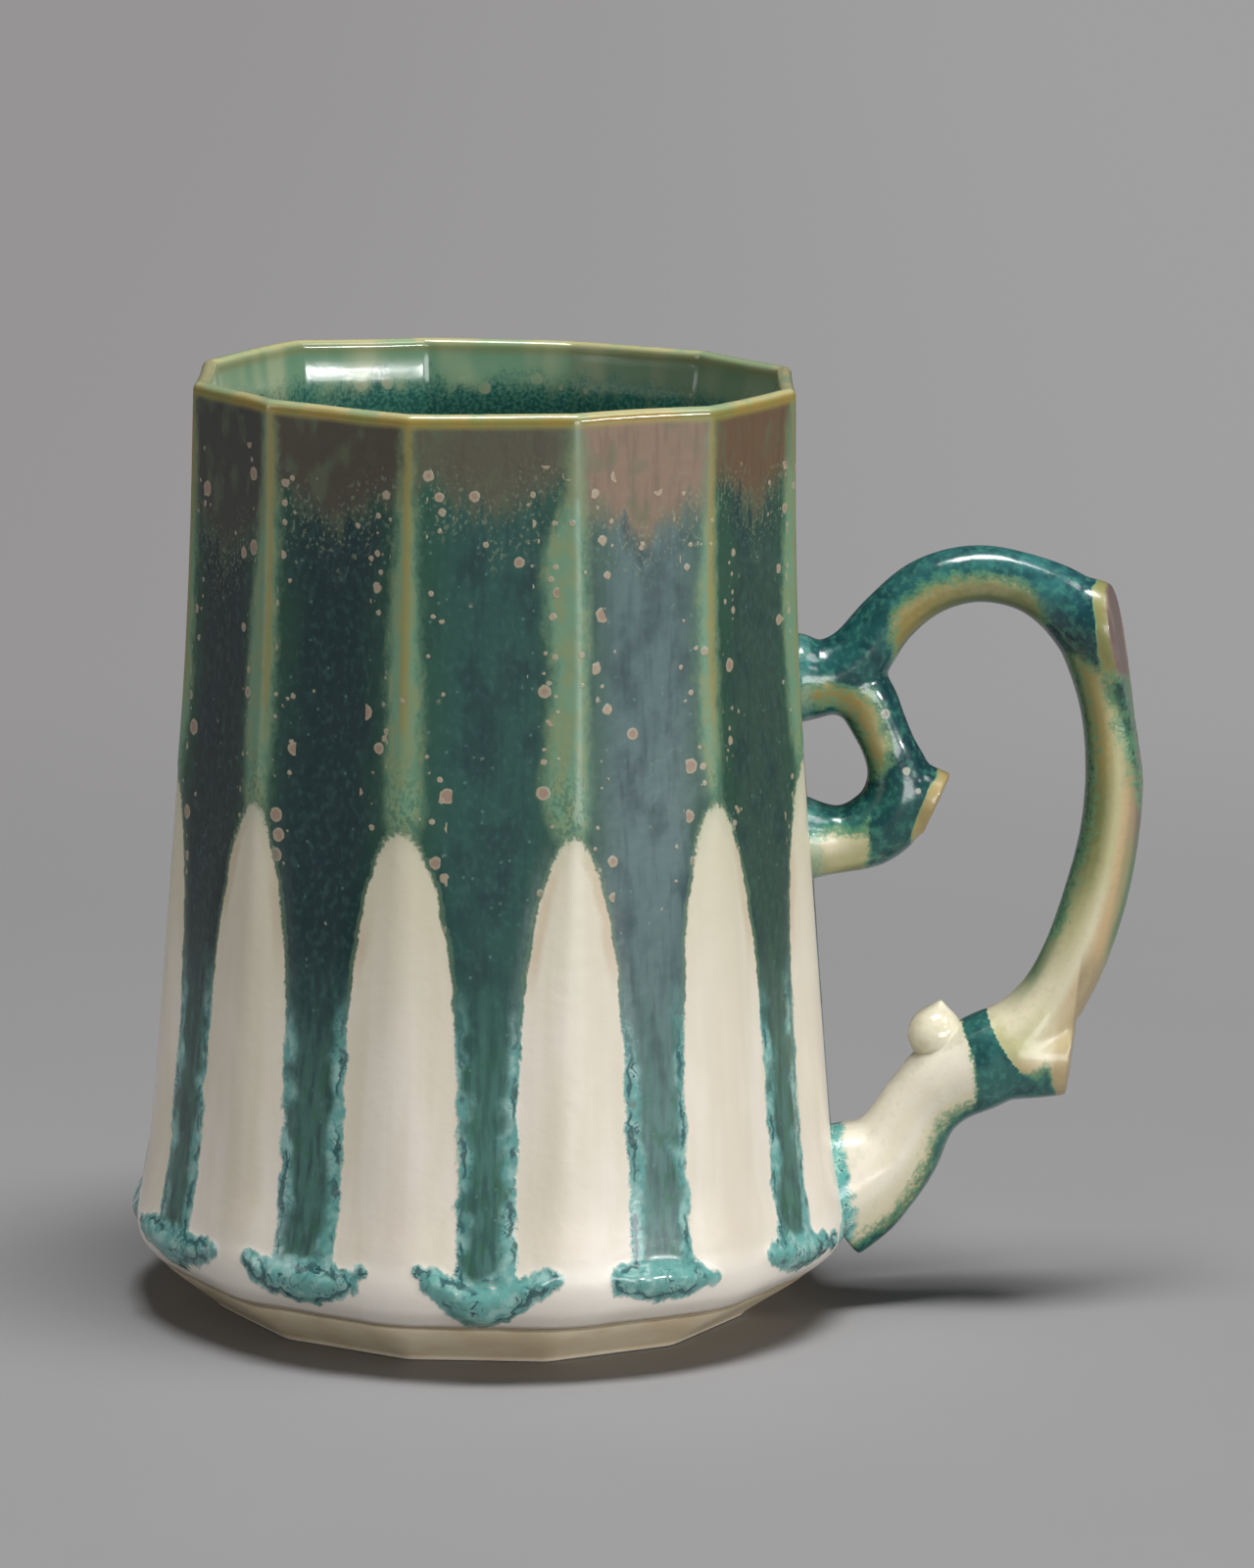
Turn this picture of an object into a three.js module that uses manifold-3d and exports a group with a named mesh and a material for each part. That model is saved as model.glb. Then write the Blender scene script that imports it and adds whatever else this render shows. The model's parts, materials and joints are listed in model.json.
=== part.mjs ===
// Twelve-sided porcelain mug with a handle modelled as a pruned branch.
// Millimetres. +Z is up, +X points from the body's axis to the handle,
// and the origin is on that axis in the plane on which the foot stands.

import * as THREE from 'three';
import { mergeVertices } from 'three/addons/utils/BufferGeometryUtils.js';
import Module from 'manifold-3d';

const library = await Module();
library.setup();

// Body
const sideCount = 12;
const height = 130;
const seamHeight = 7;
const rimCorner = 42.4;
const rimWall = 2.2;
const shoulderWall = 3.1;
const lipRadius = 1.1;
const lipTilts = [45, 90, 135];
const rimRounding = 2.5;
const seamRounding = 14;
const seamShift = 0.5;
const ridgeSteps = 4;
const outerSteps = 24;
const innerSteps = 12;

// Foot
const seamCorner = 46.6;
const footCorner = 38.2;
const footBevel = 0.6;
const footRounding = 4;
const recessRadius = 31;
const recessDepth = 0.9;
const floorRadius = 37.4;
const floorHeight = 5.6;

// Every piece keeps this distance to the one that it is joined to
const jointGap = 0.3;

// Outer wall from the seam to the lip: height, radius at the ridges, rounding of the
// ridges, and how far the hand-built wall stands off the axis towards the handle
const wallStations = [
  [seamHeight + jointGap / 2, 46.8, seamRounding, seamShift],
  [10, 49.6, 22, 0.9],
  [13, 50.3, 24, 1.1],
  [17, 49.8, 16, 1.1],
  [24, 48.7, 7, 1.0],
  [36, 47.7, 4, 0.9],
  [60, 45.9, 3, 0.6],
  [85, 44.1, 2.5, 0.3],
  [110, 42.9, 2.5, 0.1],
  [height - lipRadius, rimCorner, rimRounding, 0],
];

// Centre lines of the limbs in the plane of the handle: x, z and half width, then the
// half width across the handle's plane where that is less
const limbSides = 16;
const ringSpacing = 2.2;
const branch = [
  [42.0, 89.0, 6.4],
  [46.5, 89.3, 5.2],
  [50.5, 91.8, 4.6],
  [54.8, 97.5, 4.0],
  [60.2, 102.2, 4.0],
  [67.0, 104.2, 3.9],
  [74.0, 103.1, 3.9],
  [79.2, 100.5, 4.6],
  [82.7, 97.0, 5.0],
  [84.4, 92.0, 4.3],
  [86.0, 85.5, 3.9],
  [87.0, 77.0, 4.0],
  [86.6, 68.0, 4.1],
  [84.9, 59.0, 4.4],
  [82.1, 50.0, 4.5],
  [79.0, 43.8, 4.7],
  [74.9, 38.2, 6.0],
  [70.0, 35.0, 6.6],
  [64.6, 31.9, 6.1],
  [61.0, 27.9, 5.6],
  [57.4, 21.6, 6.6, 6.2],
  [53.0, 18.0, 8.6, 7.2],
  [48.0, 15.0, 9.6, 8.2],
];
const twig = [
  [47.5, 89.2, 4.6],
  [51.6, 87.0, 4.3],
  [54.0, 82.7, 3.8],
  [55.7, 79.0, 3.7],
  [57.0, 75.2, 4.5],
  [56.3, 70.6, 5.0],
  [53.2, 67.6, 5.0],
  [49.2, 66.3, 4.6],
  [46.2, 66.2, 5.2],
  [43.0, 66.2, 6.4],
];

// Stations at which one limb ends and the next begins
const forkEnd = 3;
const knuckleStart = 6.7;
const knuckleEnd = 10.4;
const elbowStart = 14.8;
const elbowEnd = 17.9;
const stemStart = 1.9;
const knobStart = 3.3;
const knobEnd = 5.7;

// Pruned ends: centre line and half widths of the stub, then a point and the normal of its cut
const leaderStub = [
  [79.6, 99.9, 4.7],
  [84.0, 97.2, 5.9],
  [86.6, 91.0, 4.8],
  [86.8, 85.0, 3.6],
];
const leaderCut = { point: [85.8, 0, 102.4], normal: [0.96, -0.2, 0.19] };
const spurStub = [
  [73.6, 36.2, 6.6],
  [78.4, 35.8, 5.8],
  [86.0, 36.2, 4.9],
];
const spurCut = { point: [82.2, 0, 36.0], normal: [0.98, -0.1, -0.1] };
const knobStub = [
  [55.8, 74.2, 4.6],
  [60.5, 72.2, 5.3],
  [68.0, 69.0, 5.3],
];
const knobCut = { point: [62.3, 0, 71.6], normal: [0.9, -0.12, -0.38] };
const cutBlockSize = 40;

// Leaf bud on the upper side of the lowest limb, and the outline of its round part,
// from the bottom up, as shares of its radius
const bud = { radius: 3.9, tipHeight: 5.2, tipRadius: 0.5, x: 63.0, z: 38.7, lean: 8 };
const budOutline = [[0, -1], [0.75, -0.66], [1, 0], [0.7, 0.72]];
const budOutlinePoints = 12;

const halfFacet = Math.PI / sideCount;

// Glaze colours of the pieces
const glazes = {
  tealRun: { color: '#2f6660', roughness: 0.3, metalness: 0 },
  cream: { color: '#d9cfb4', roughness: 0.35, metalness: 0 },
  tealOlive: { color: '#3f7468', roughness: 0.22, metalness: 0 },
  olive: { color: '#8f8a5a', roughness: 0.28, metalness: 0 },
};

// Ring of a twelve-sided section whose ridges are rounded
function facetedRing(cornerRadius, rounding, z, shift = 0) {
  const innerCorner = cornerRadius - rounding;
  const points = [];
  for (let side = 0; side < sideCount; side += 1) {
    const ridge = halfFacet * (2 * side + 1);
    for (let step = 0; step < ridgeSteps; step += 1) {
      const turn = ridge + halfFacet * ((2 * step) / (ridgeSteps - 1) - 1);
      points.push(new THREE.Vector3(
        innerCorner * Math.cos(ridge) + rounding * Math.cos(turn) + shift,
        innerCorner * Math.sin(ridge) + rounding * Math.sin(turn),
        z,
      ));
    }
  }
  return points;
}

// Closed body through rings that run the same way round. A looped body joins the
// last ring to the first one; any other has a fan of triangles over each end.
function loft(rings, looped = false) {
  const count = rings[0].length;
  const points = rings.flat();
  const index = [];
  const lastRing = looped ? rings.length : rings.length - 1;
  for (let ring = 0; ring < lastRing; ring += 1) {
    const here = ring * count;
    const above = ((ring + 1) % rings.length) * count;
    for (let side = 0; side < count; side += 1) {
      const next = (side + 1) % count;
      index.push(here + side, here + next, above + next);
      index.push(here + side, above + next, above + side);
    }
  }
  if (!looped) {
    for (const [ring, reversed] of [[0, true], [rings.length - 1, false]]) {
      const centre = new THREE.Vector3();
      rings[ring].forEach((point) => centre.addScaledVector(point, 1 / count));
      points.push(centre);
      for (let side = 0; side < count; side += 1) {
        const edge = [ring * count + side, ring * count + ((side + 1) % count)];
        index.push(points.length - 1, ...(reversed ? edge.reverse() : edge));
      }
    }
  }
  const geometry = new THREE.BufferGeometry().setFromPoints(points);
  geometry.setIndex(index);
  return geometry;
}

// Rounded tube along part of a limb's centre line, between two of its stations.
// The swell widens it everywhere, and the trim shortens it at both ends.
function limb(stations, start = 0, end = stations.length - 1, swell = 0, trim = jointGap / 2) {
  const last = stations.length - 1;
  const centreLine = new THREE.CatmullRomCurve3(
    stations.map(([x, z]) => new THREE.Vector3(x, 0, z)),
  );
  const halfWidths = new THREE.SplineCurve(
    stations.map(([, , inPlane, acrossPlane = inPlane]) => new THREE.Vector2(inPlane, acrossPlane)),
  );
  const sideways = new THREE.Vector3(0, 1, 0);
  const along = (part) => (start + (end - start) * part) / last;
  let reach = 0;
  for (let part = 0; part < last; part += 1) {
    reach += centreLine.getPoint(along(part / last)).distanceTo(
      centreLine.getPoint(along((part + 1) / last)),
    );
  }
  const steps = Math.max(2, Math.round(reach / ringSpacing));
  const rings = [];
  for (let step = 0; step <= steps; step += 1) {
    const where = along(step / steps);
    const heading = centreLine.getTangent(where);
    const centre = centreLine.getPoint(where);
    if (step === 0) centre.addScaledVector(heading, trim);
    if (step === steps) centre.addScaledVector(heading, -trim);
    const across = new THREE.Vector3().crossVectors(heading, sideways);
    const halfWidth = halfWidths.getPoint(where).addScalar(swell);
    const ring = [];
    for (let side = 0; side < limbSides; side += 1) {
      const turn = (2 * Math.PI * side) / limbSides;
      ring.push(centre.clone()
        .addScaledVector(sideways, halfWidth.y * Math.cos(turn))
        .addScaledVector(across, halfWidth.x * Math.sin(turn)));
    }
    rings.push(ring);
  }
  return loft(rings);
}

function toSolid(geometry) {
  const bare = geometry.clone();
  bare.deleteAttribute('normal');
  bare.deleteAttribute('uv');
  const closed = mergeVertices(bare);
  return new library.Manifold(new library.Mesh({
    numProp: 3,
    vertProperties: Float32Array.from(closed.attributes.position.array),
    triVerts: Uint32Array.from(closed.index.array),
  }));
}

function toGeometry(solid) {
  const { vertProperties, triVerts } = solid.getMesh();
  const geometry = new THREE.BufferGeometry();
  geometry.setAttribute('position', new THREE.BufferAttribute(vertProperties, 3));
  geometry.setIndex(new THREE.BufferAttribute(triVerts, 1));
  return geometry;
}

// Block that fills everything on the outer side of a cut
function beyondCut({ point, normal }) {
  const outward = new THREE.Vector3(...normal).normalize();
  const block = new THREE.BoxGeometry(cutBlockSize, cutBlockSize, cutBlockSize);
  block.translate(0, 0, cutBlockSize / 2);
  block.applyQuaternion(new THREE.Quaternion().setFromUnitVectors(
    new THREE.Vector3(0, 0, 1),
    outward,
  ));
  return toSolid(block.translate(...point));
}

const mug = new THREE.Group();

function addPiece(name, geometry, glaze) {
  geometry.computeVertexNormals();
  const mesh = new THREE.Mesh(geometry, new THREE.MeshStandardMaterial(glaze));
  mesh.name = name;
  mug.add(mesh);
}

// Outline of the wall, from smooth curves through its stations
const ridgeLine = new THREE.SplineCurve(
  wallStations.map(([z, radius]) => new THREE.Vector2(radius, z)),
);
const ridgeForm = new THREE.SplineCurve(
  wallStations.map(([, , rounding, shift]) => new THREE.Vector2(rounding, shift)),
);

function wallRing(part, inset) {
  const { x: radius, y: z } = ridgeLine.getPoint(part);
  const { x: rounding, y: shift } = ridgeForm.getPoint(part);
  return facetedRing(radius - inset, rounding, z, shift);
}

// Wall: up the outside, over the rounded lip, down the inside and back to the seam
function bodyWall() {
  const rings = [];
  for (let step = 0; step <= outerSteps; step += 1) {
    rings.push(wallRing(step / outerSteps, 0));
  }
  for (const tilt of lipTilts) {
    const turn = THREE.MathUtils.degToRad(tilt);
    const inset = lipRadius * (1 - Math.cos(turn));
    const z = height - lipRadius * (1 - Math.sin(turn));
    rings.push(facetedRing(rimCorner - inset, rimRounding, z));
  }
  for (let step = innerSteps; step > 0; step -= 1) {
    const part = step / innerSteps;
    rings.push(wallRing(part, THREE.MathUtils.lerp(shoulderWall, rimWall, part)));
  }
  const { y: bottom } = ridgeLine.getPoint(0);
  rings.push(facetedRing(seamCorner - 2 * shoulderWall, seamRounding, bottom, seamShift));
  return loft(rings, true);
}

// Foot and floor in one piece, with a shallow recess ground out of its underside. The
// floor inside lies a little lower than the seam.
function footAndFloor() {
  const top = seamHeight - jointGap / 2;
  return loft([
    circle(recessRadius, recessDepth),
    circle(recessRadius + recessDepth, 0),
    facetedRing(footCorner - footBevel, footRounding, 0),
    facetedRing(footCorner, footRounding, footBevel),
    facetedRing(seamCorner, seamRounding, top, seamShift),
    circle(floorRadius + top - floorHeight, top),
    circle(floorRadius, floorHeight),
  ]);
}

// Circle with as many points as a faceted ring
function circle(radius, z) {
  return facetedRing(radius, radius, z);
}

// Everything that the outside of the body fills, widened by the joint gap
function bodyEnvelope() {
  const rings = [facetedRing(footCorner + jointGap, footRounding, 0)];
  for (let step = 0; step <= outerSteps; step += 1) {
    rings.push(wallRing(step / outerSteps, -jointGap));
  }
  return toSolid(loft(rings));
}

const envelope = bodyEnvelope();

addPiece('body_wall', bodyWall(), glazes.tealRun);
addPiece('foot_and_floor', footAndFloor(), glazes.cream);

// Upper root: leaves the wall and forks into the bow and the twig
const upperRoot = toSolid(limb(branch, 0, forkEnd))
  .add(toSolid(limb(twig, 0, stemStart)))
  .subtract(envelope);
addPiece('upper_root', toGeometry(upperRoot), glazes.tealOlive);

addPiece('handle_bow', limb(branch, forkEnd, knuckleStart), glazes.tealOlive);

// Knuckle: the leader is pruned here and the grip grows on below the cut
const knuckle = toSolid(limb(branch, knuckleStart, knuckleEnd))
  .add(toSolid(limb(leaderStub)))
  .subtract(beyondCut(leaderCut))
  .subtract(toSolid(limb(branch, knuckleEnd, elbowStart, jointGap, -jointGap / 2)))
  .subtract(toSolid(limb(branch, forkEnd, knuckleStart, jointGap, -jointGap / 2)));
addPiece('pruned_knuckle', toGeometry(knuckle), glazes.olive);

addPiece('handle_grip', limb(branch, knuckleEnd, elbowStart), glazes.olive);

// Elbow: the grip turns into the lowest limb, and a pruned spur points away
const elbow = toSolid(limb(branch, elbowStart, elbowEnd))
  .add(toSolid(limb(spurStub)))
  .subtract(beyondCut(spurCut));
addPiece('pruned_elbow', toGeometry(elbow), glazes.cream);

const lowerRoot = toSolid(limb(branch, elbowEnd)).subtract(envelope);
addPiece('lower_root', toGeometry(lowerRoot), glazes.cream);

// Bud: a round body with a short drawn-out tip, seated on the limb and the elbow
function leafBud() {
  const outline = new THREE.CatmullRomCurve3([
    ...budOutline.map(([x, y]) => new THREE.Vector3(x * bud.radius, y * bud.radius, 0)),
    new THREE.Vector3(bud.tipRadius, bud.tipHeight - bud.tipRadius, 0),
    new THREE.Vector3(0, bud.tipHeight, 0),
  ]);
  const profile = outline.getPoints(budOutlinePoints)
    .map(({ x, y }) => new THREE.Vector2(Math.max(x, 0), y));
  profile[0].x = 0;
  profile[profile.length - 1].x = 0;
  const body = new THREE.LatheGeometry(profile, limbSides);
  body.rotateX(Math.PI / 2);
  body.rotateY(THREE.MathUtils.degToRad(bud.lean));
  return body.translate(bud.x, 0, bud.z);
}

const seatedBud = toSolid(leafBud())
  .subtract(toSolid(limb(branch, elbowStart, elbowEnd, jointGap, -jointGap)))
  .subtract(toSolid(limb(branch, elbowEnd, branch.length - 1, jointGap, -jointGap)));
addPiece('leaf_bud', toGeometry(seatedBud), glazes.cream);

addPiece('twig_stem', limb(twig, stemStart, knobStart), glazes.tealOlive);

// Knob: the twig bends back to the wall here, and its pruned end points away
const knob = toSolid(limb(twig, knobStart, knobEnd))
  .add(toSolid(limb(knobStub)))
  .subtract(beyondCut(knobCut));
addPiece('pruned_knob', toGeometry(knob), glazes.tealOlive);

const twigRoot = toSolid(limb(twig, knobEnd)).subtract(envelope);
addPiece('twig_root', toGeometry(twigRoot), glazes.cream);

export default mug;
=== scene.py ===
"""Twelve-sided porcelain mug with a handle modelled as a pruned branch, in a running teal glaze.

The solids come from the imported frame. Each one is replaced by a piece with the same place and
outline, a finer surface and a glaze. Sizes are in millimetres and are turned into metres where
a mesh is made. A bearing is an angle round the body's axis in degrees, from the side that faces
the camera, growing towards the handle.
"""

import json
import logging
import math
from collections.abc import Iterator, Sequence
from contextlib import contextmanager
from dataclasses import dataclass, field
from enum import Enum
from functools import reduce

import bpy
import numpy as np
from mathutils import Matrix, Vector

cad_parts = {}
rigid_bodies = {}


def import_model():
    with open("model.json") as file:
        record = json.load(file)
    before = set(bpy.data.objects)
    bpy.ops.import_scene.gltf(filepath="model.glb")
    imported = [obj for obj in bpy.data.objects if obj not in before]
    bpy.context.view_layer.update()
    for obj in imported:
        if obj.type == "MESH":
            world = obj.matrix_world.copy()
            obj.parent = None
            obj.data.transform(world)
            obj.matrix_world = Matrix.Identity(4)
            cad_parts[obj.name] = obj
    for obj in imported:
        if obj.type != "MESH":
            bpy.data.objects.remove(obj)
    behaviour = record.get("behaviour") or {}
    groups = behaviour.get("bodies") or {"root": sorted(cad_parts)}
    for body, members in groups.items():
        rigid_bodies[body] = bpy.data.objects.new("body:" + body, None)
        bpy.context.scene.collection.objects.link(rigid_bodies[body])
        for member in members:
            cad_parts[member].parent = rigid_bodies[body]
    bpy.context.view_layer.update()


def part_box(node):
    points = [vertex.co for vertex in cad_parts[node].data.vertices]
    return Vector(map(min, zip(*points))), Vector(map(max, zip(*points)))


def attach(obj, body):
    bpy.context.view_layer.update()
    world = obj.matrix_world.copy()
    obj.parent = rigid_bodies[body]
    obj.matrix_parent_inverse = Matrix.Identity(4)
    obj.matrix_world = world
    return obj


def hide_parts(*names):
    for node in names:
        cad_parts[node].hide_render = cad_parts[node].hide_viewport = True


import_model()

MM = 0.001
ROOT = "root"

log = logging.getLogger("mug")

Array = np.ndarray
Piece = bpy.types.Object
Colour = tuple[float, float, float, float]
Place = tuple[float, float, float]
Table = tuple[tuple[float, ...], ...]


def shade(red: float, green: float, blue: float) -> Colour:
    """Linear, opaque colour from its red, green and blue on a screen, from 0 to 255."""
    linear = [part / 12.92 if part <= 0.04045 else ((part + 0.055) / 1.055) ** 2.4
              for part in (red / 255, green / 255, blue / 255)]
    return (linear[0], linear[1], linear[2], 1.0)


def ease(value: Array, start: float, end: float) -> Array:
    """Smooth step of the values, from 0 at start to 1 at end."""
    part = np.clip((value - start) / (end - start), 0, 1)
    return part * part * (3 - 2 * part)


# Mesh work


def let_go() -> None:
    """Leaves edit mode and deselects everything."""
    if bpy.context.object and bpy.context.object.mode != "OBJECT":
        bpy.ops.object.mode_set(mode="OBJECT")
    bpy.ops.object.select_all(action="DESELECT")


def take(piece: Piece) -> None:
    """Selects one piece alone and makes it the active one."""
    let_go()
    piece.select_set(True)
    bpy.context.view_layer.objects.active = piece


@contextmanager
def editing(piece: Piece, kind: str = "VERT") -> Iterator[None]:
    """Edit mode on one piece.

    Args:
        piece: the piece to edit.
        kind: what is selected: VERT, EDGE or FACE.

    Yields:
        Nothing; the piece is in edit mode meanwhile.
    """
    take(piece)
    bpy.ops.object.mode_set(mode="EDIT")
    bpy.ops.mesh.select_mode(type=kind)
    yield
    bpy.ops.object.mode_set(mode="OBJECT")


def use_modifier(piece: Piece, kind: str, **settings: object) -> None:
    """Adds a modifier and applies it.

    Args:
        piece: the piece that gets it.
        kind: Blender's name for the modifier.
        **settings: the modifier's own settings.
    """
    take(piece)
    modifier = piece.modifiers.new(kind.lower(), kind)
    for name, value in settings.items():
        setattr(modifier, name, value)
    bpy.ops.object.modifier_apply(modifier=modifier.name)


def read_rows(items: bpy.types.bpy_prop_collection, name: str, width: int = 3) -> Array:
    """Numbers that a mesh's points or faces hold under this name, one row each."""
    flat = np.zeros(len(items) * width, np.float32)
    items.foreach_get(name, flat)
    return flat.reshape(-1, width).astype(float)


def points_of(piece: Piece) -> Array:
    """Points of a piece in millimetres, one row each."""
    return read_rows(piece.data.vertices, "co") / MM


def normals_of(piece: Piece) -> Array:
    """Outward directions at the points of a piece, one row each."""
    return read_rows(piece.data.vertices, "normal")


def place_points(piece: Piece, points: Array) -> None:
    """Moves the points of a piece, given in millimetres and one row each."""
    piece.data.vertices.foreach_set("co", (points * MM).astype(np.float32).ravel())
    piece.data.update()


def write_fields(piece: Piece, **fields: Array) -> None:
    """Stores numbers or colours for the points of a piece, which a glaze reads by name.

    Args:
        piece: the piece.
        **fields: the values under their names, one number or one row of four for each point.
    """
    for name, values in fields.items():
        kind, key = ("FLOAT_COLOR", "color") if values.ndim == 2 else ("FLOAT", "value")
        layer = piece.data.attributes.new(name, kind, "POINT")
        layer.data.foreach_set(key, values.astype(np.float32).ravel())


def read_field(piece: Piece, name: str) -> Array:
    """Numbers stored for the points of a piece under this name."""
    return read_rows(piece.data.attributes[name].data, "value", 1)[:, 0]


def settle_origin(piece: Piece) -> None:
    """Puts the piece's place in its mesh, with the object unturned at the origin."""
    take(piece)
    bpy.ops.object.transform_apply(location=True, rotation=True, scale=True)


def smooth(piece: Piece, angle: float = 40.0) -> None:
    """Shades a piece smooth, but for edges that are sharper than the angle in degrees."""
    take(piece)
    bpy.ops.object.shade_smooth_by_angle(angle=math.radians(angle))


def select_open_edges() -> None:
    """Selects the open edges of the piece in edit mode, and nothing else."""
    bpy.ops.mesh.select_all(action="DESELECT")
    bpy.ops.mesh.select_non_manifold(extend=False)


def face_outwards() -> None:
    """Turns all faces of the piece in edit mode outwards."""
    bpy.ops.mesh.select_all(action="SELECT")
    bpy.ops.mesh.normals_make_consistent(inside=False)


def hand_in(piece: Piece, node: str, glaze: bpy.types.Material) -> None:
    """Gives a finished piece its glaze and its place in the frame.

    Args:
        piece: the finished piece.
        node: the CAD node that it stands for.
        glaze: the glaze on it.
    """
    piece.name = f"glazed_{node}"
    piece.data.name = piece.name
    piece.data.materials.clear()
    piece.data.materials.append(glaze)
    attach(piece, ROOT)
    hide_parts(node)
    log.info("%s: %d points, %d faces", piece.name, len(piece.data.vertices),
             len(piece.data.polygons))


# Glaze work


Socket = bpy.types.NodeSocket
Input = Socket | float | tuple


class GlazeBench:
    """Lays out the nodes of one glaze, with all lengths in millimetres."""

    def __init__(self, name: str) -> None:
        """Starts a material with one Principled shader and a place in millimetres."""
        self.material = bpy.data.materials.new(name)
        self.material.use_nodes = True
        self.tree = self.material.node_tree
        self.tree.nodes.clear()
        self.surface = self.node("BsdfPrincipled")
        self.output = self.node("OutputMaterial", {"Surface": self.surface.outputs["BSDF"]})
        where = self.node("TexCoord").outputs["Object"]
        scale = self.node("VectorMath", {0: where, "Scale": 1 / MM}, operation="SCALE")
        self.place = scale.outputs[0]

    def node(
        self, kind: str, inputs: dict[str | int, Input] | None = None, **settings: str
    ) -> bpy.types.Node:
        """Adds one node.

        Args:
            kind: Blender's name for it, without ShaderNode in front.
            inputs: its inputs by name or number, each a link or a constant.
            **settings: the node's own settings.

        Returns:
            The node.
        """
        node = self.tree.nodes.new("ShaderNode" + kind)
        for name, value in settings.items():
            setattr(node, name, value)
        for key, value in (inputs or {}).items():
            self.feed(node.inputs[key], value)
        return node

    def feed(self, socket: Socket, value: Input) -> None:
        """Sets a socket.

        Args:
            socket: the socket.
            value: a link, a constant, or a step given as value, start and end.
        """
        if isinstance(value, tuple) and isinstance(value[0], Socket):
            value = self.step(*value)
        if isinstance(value, Socket):
            self.tree.links.new(value, socket)
        else:
            socket.default_value = value

    def set(self, **inputs: Input) -> None:
        """Sets inputs of the shader; an underscore stands for a space."""
        for name, value in inputs.items():
            self.feed(self.surface.inputs[name.replace("_", " ")], value)

    def math(self, operation: str, first: Input, second: Input) -> Socket:
        """Result of one sum, which is named as in Blender, such as ADD."""
        return self.node("Math", {0: first, 1: second}, operation=operation).outputs[0]

    def times(self, *values: Input) -> Input:
        """Product of all the values."""
        return reduce(lambda first, second: self.math("MULTIPLY", first, second), values)

    def plus(self, *values: Input) -> Input:
        """Sum of all the values."""
        return reduce(lambda first, second: self.math("ADD", first, second), values)

    def less(self, value: Input, whole: Input = 1.0) -> Socket:
        """The whole, or one, minus the value."""
        return self.math("SUBTRACT", whole, value)

    def most(self, first: Input, second: Input) -> Socket:
        """The larger of two values."""
        return self.math("MAXIMUM", first, second)

    def swing(self, noise: Input, size: float) -> Socket:
        """Noise from 0 to 1 turned into a length from minus to plus half the size."""
        return self.times(self.less(0.5, noise), size)

    def step(self, value: Input, start: float, end: float) -> Socket:
        """Smooth step of a value from 0 at start to 1 at end, which may lie below start."""
        rise = float(start < end)
        return self.node("MapRange", {"Value": value, "From Min": min(start, end),
                                      "From Max": max(start, end), "To Min": 1 - rise,
                                      "To Max": rise},
                         interpolation_type="SMOOTHSTEP").outputs["Result"]

    def line(self, value: Input, middle: float, half: float) -> Socket:
        """Soft line where the value is within half of the middle."""
        away = self.math("ABSOLUTE", self.less(middle, value), 0.0)
        return self.step(away, half, half * 0.35)

    def number(self, amount: Input, below: Input, above: Input, kind: str = "FLOAT") -> Socket:
        """Mixes two numbers, or two colours, by an amount from 0 to 1."""
        return self.node("Mix", {"Factor": amount, "A": below, "B": above},
                         data_type=kind).outputs["Result"]

    def coats(self, colour: Input, *coats: tuple[Input, ...]) -> Input:
        """Lays coats of glaze over a colour.

        Args:
            colour: the colour at the bottom.
            *coats: each coat's colour, then what shows it: numbers from 0 to 1 or steps, which
                are multiplied.

        Returns:
            The colour on top.
        """
        for above, *shown in coats:
            colour = self.number(self.times(*shown), colour, above, "RGBA")
        return colour

    def field(self, name: str, output: str = "Fac") -> Socket:
        """Number stored on the mesh under this name."""
        return self.node("Attribute", attribute_name=name).outputs[output]

    def colour_field(self, name: str) -> Socket:
        """Colour stored on the mesh under this name."""
        return self.field(name, "Color")

    def axis(self, name: str) -> Socket:
        """Place along one axis, X, Y or Z."""
        return self.node("SeparateXYZ", {0: self.place}).outputs[name]

    def moved(self, start: float, stretch: float = 1.0) -> Socket:
        """Place moved for a pattern of its own, with its height scaled for streaks."""
        return self.node("Mapping", {
            "Vector": self.place, "Scale": (1.0, 1.0, stretch),
            "Location": (start, start * 0.7, start * 0.3)}).outputs["Vector"]

    def noise(
        self, size: float, detail: float = 2.0, stretch: float = 1.0, start: float = 0.0,
        twist: float = 0.0,
    ) -> Socket:
        """Cloudy noise from 0 to 1, mostly near a half.

        Args:
            size: size of its blotches.
            detail: how many finer layers it has.
            stretch: scale of the height; a small one draws the blotches out upwards.
            start: where the pattern starts, so that two don't match.
            twist: how much it is swirled.

        Returns:
            The noise.
        """
        return self.node("TexNoise", {
            "Scale": 1 / size, "Detail": detail, "Distortion": twist,
            "Vector": self.moved(start, stretch)}).outputs["Fac"]

    def grains(self, spacing: float, start: float) -> tuple[Socket, Socket, Socket]:
        """Scattered points, for crystals and specks.

        Args:
            spacing: mean distance from one to the next.
            start: where the pattern starts.

        Returns:
            The distance to the nearest one, and two random numbers for each.
        """
        points = self.node("TexVoronoi", {"Scale": 1 / spacing, "Vector": self.moved(start)})
        luck = self.node("SeparateColor", {"Color": points.outputs["Color"]})
        away = self.times(points.outputs["Distance"], spacing)
        return away, luck.outputs["Red"], luck.outputs["Green"]

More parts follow.
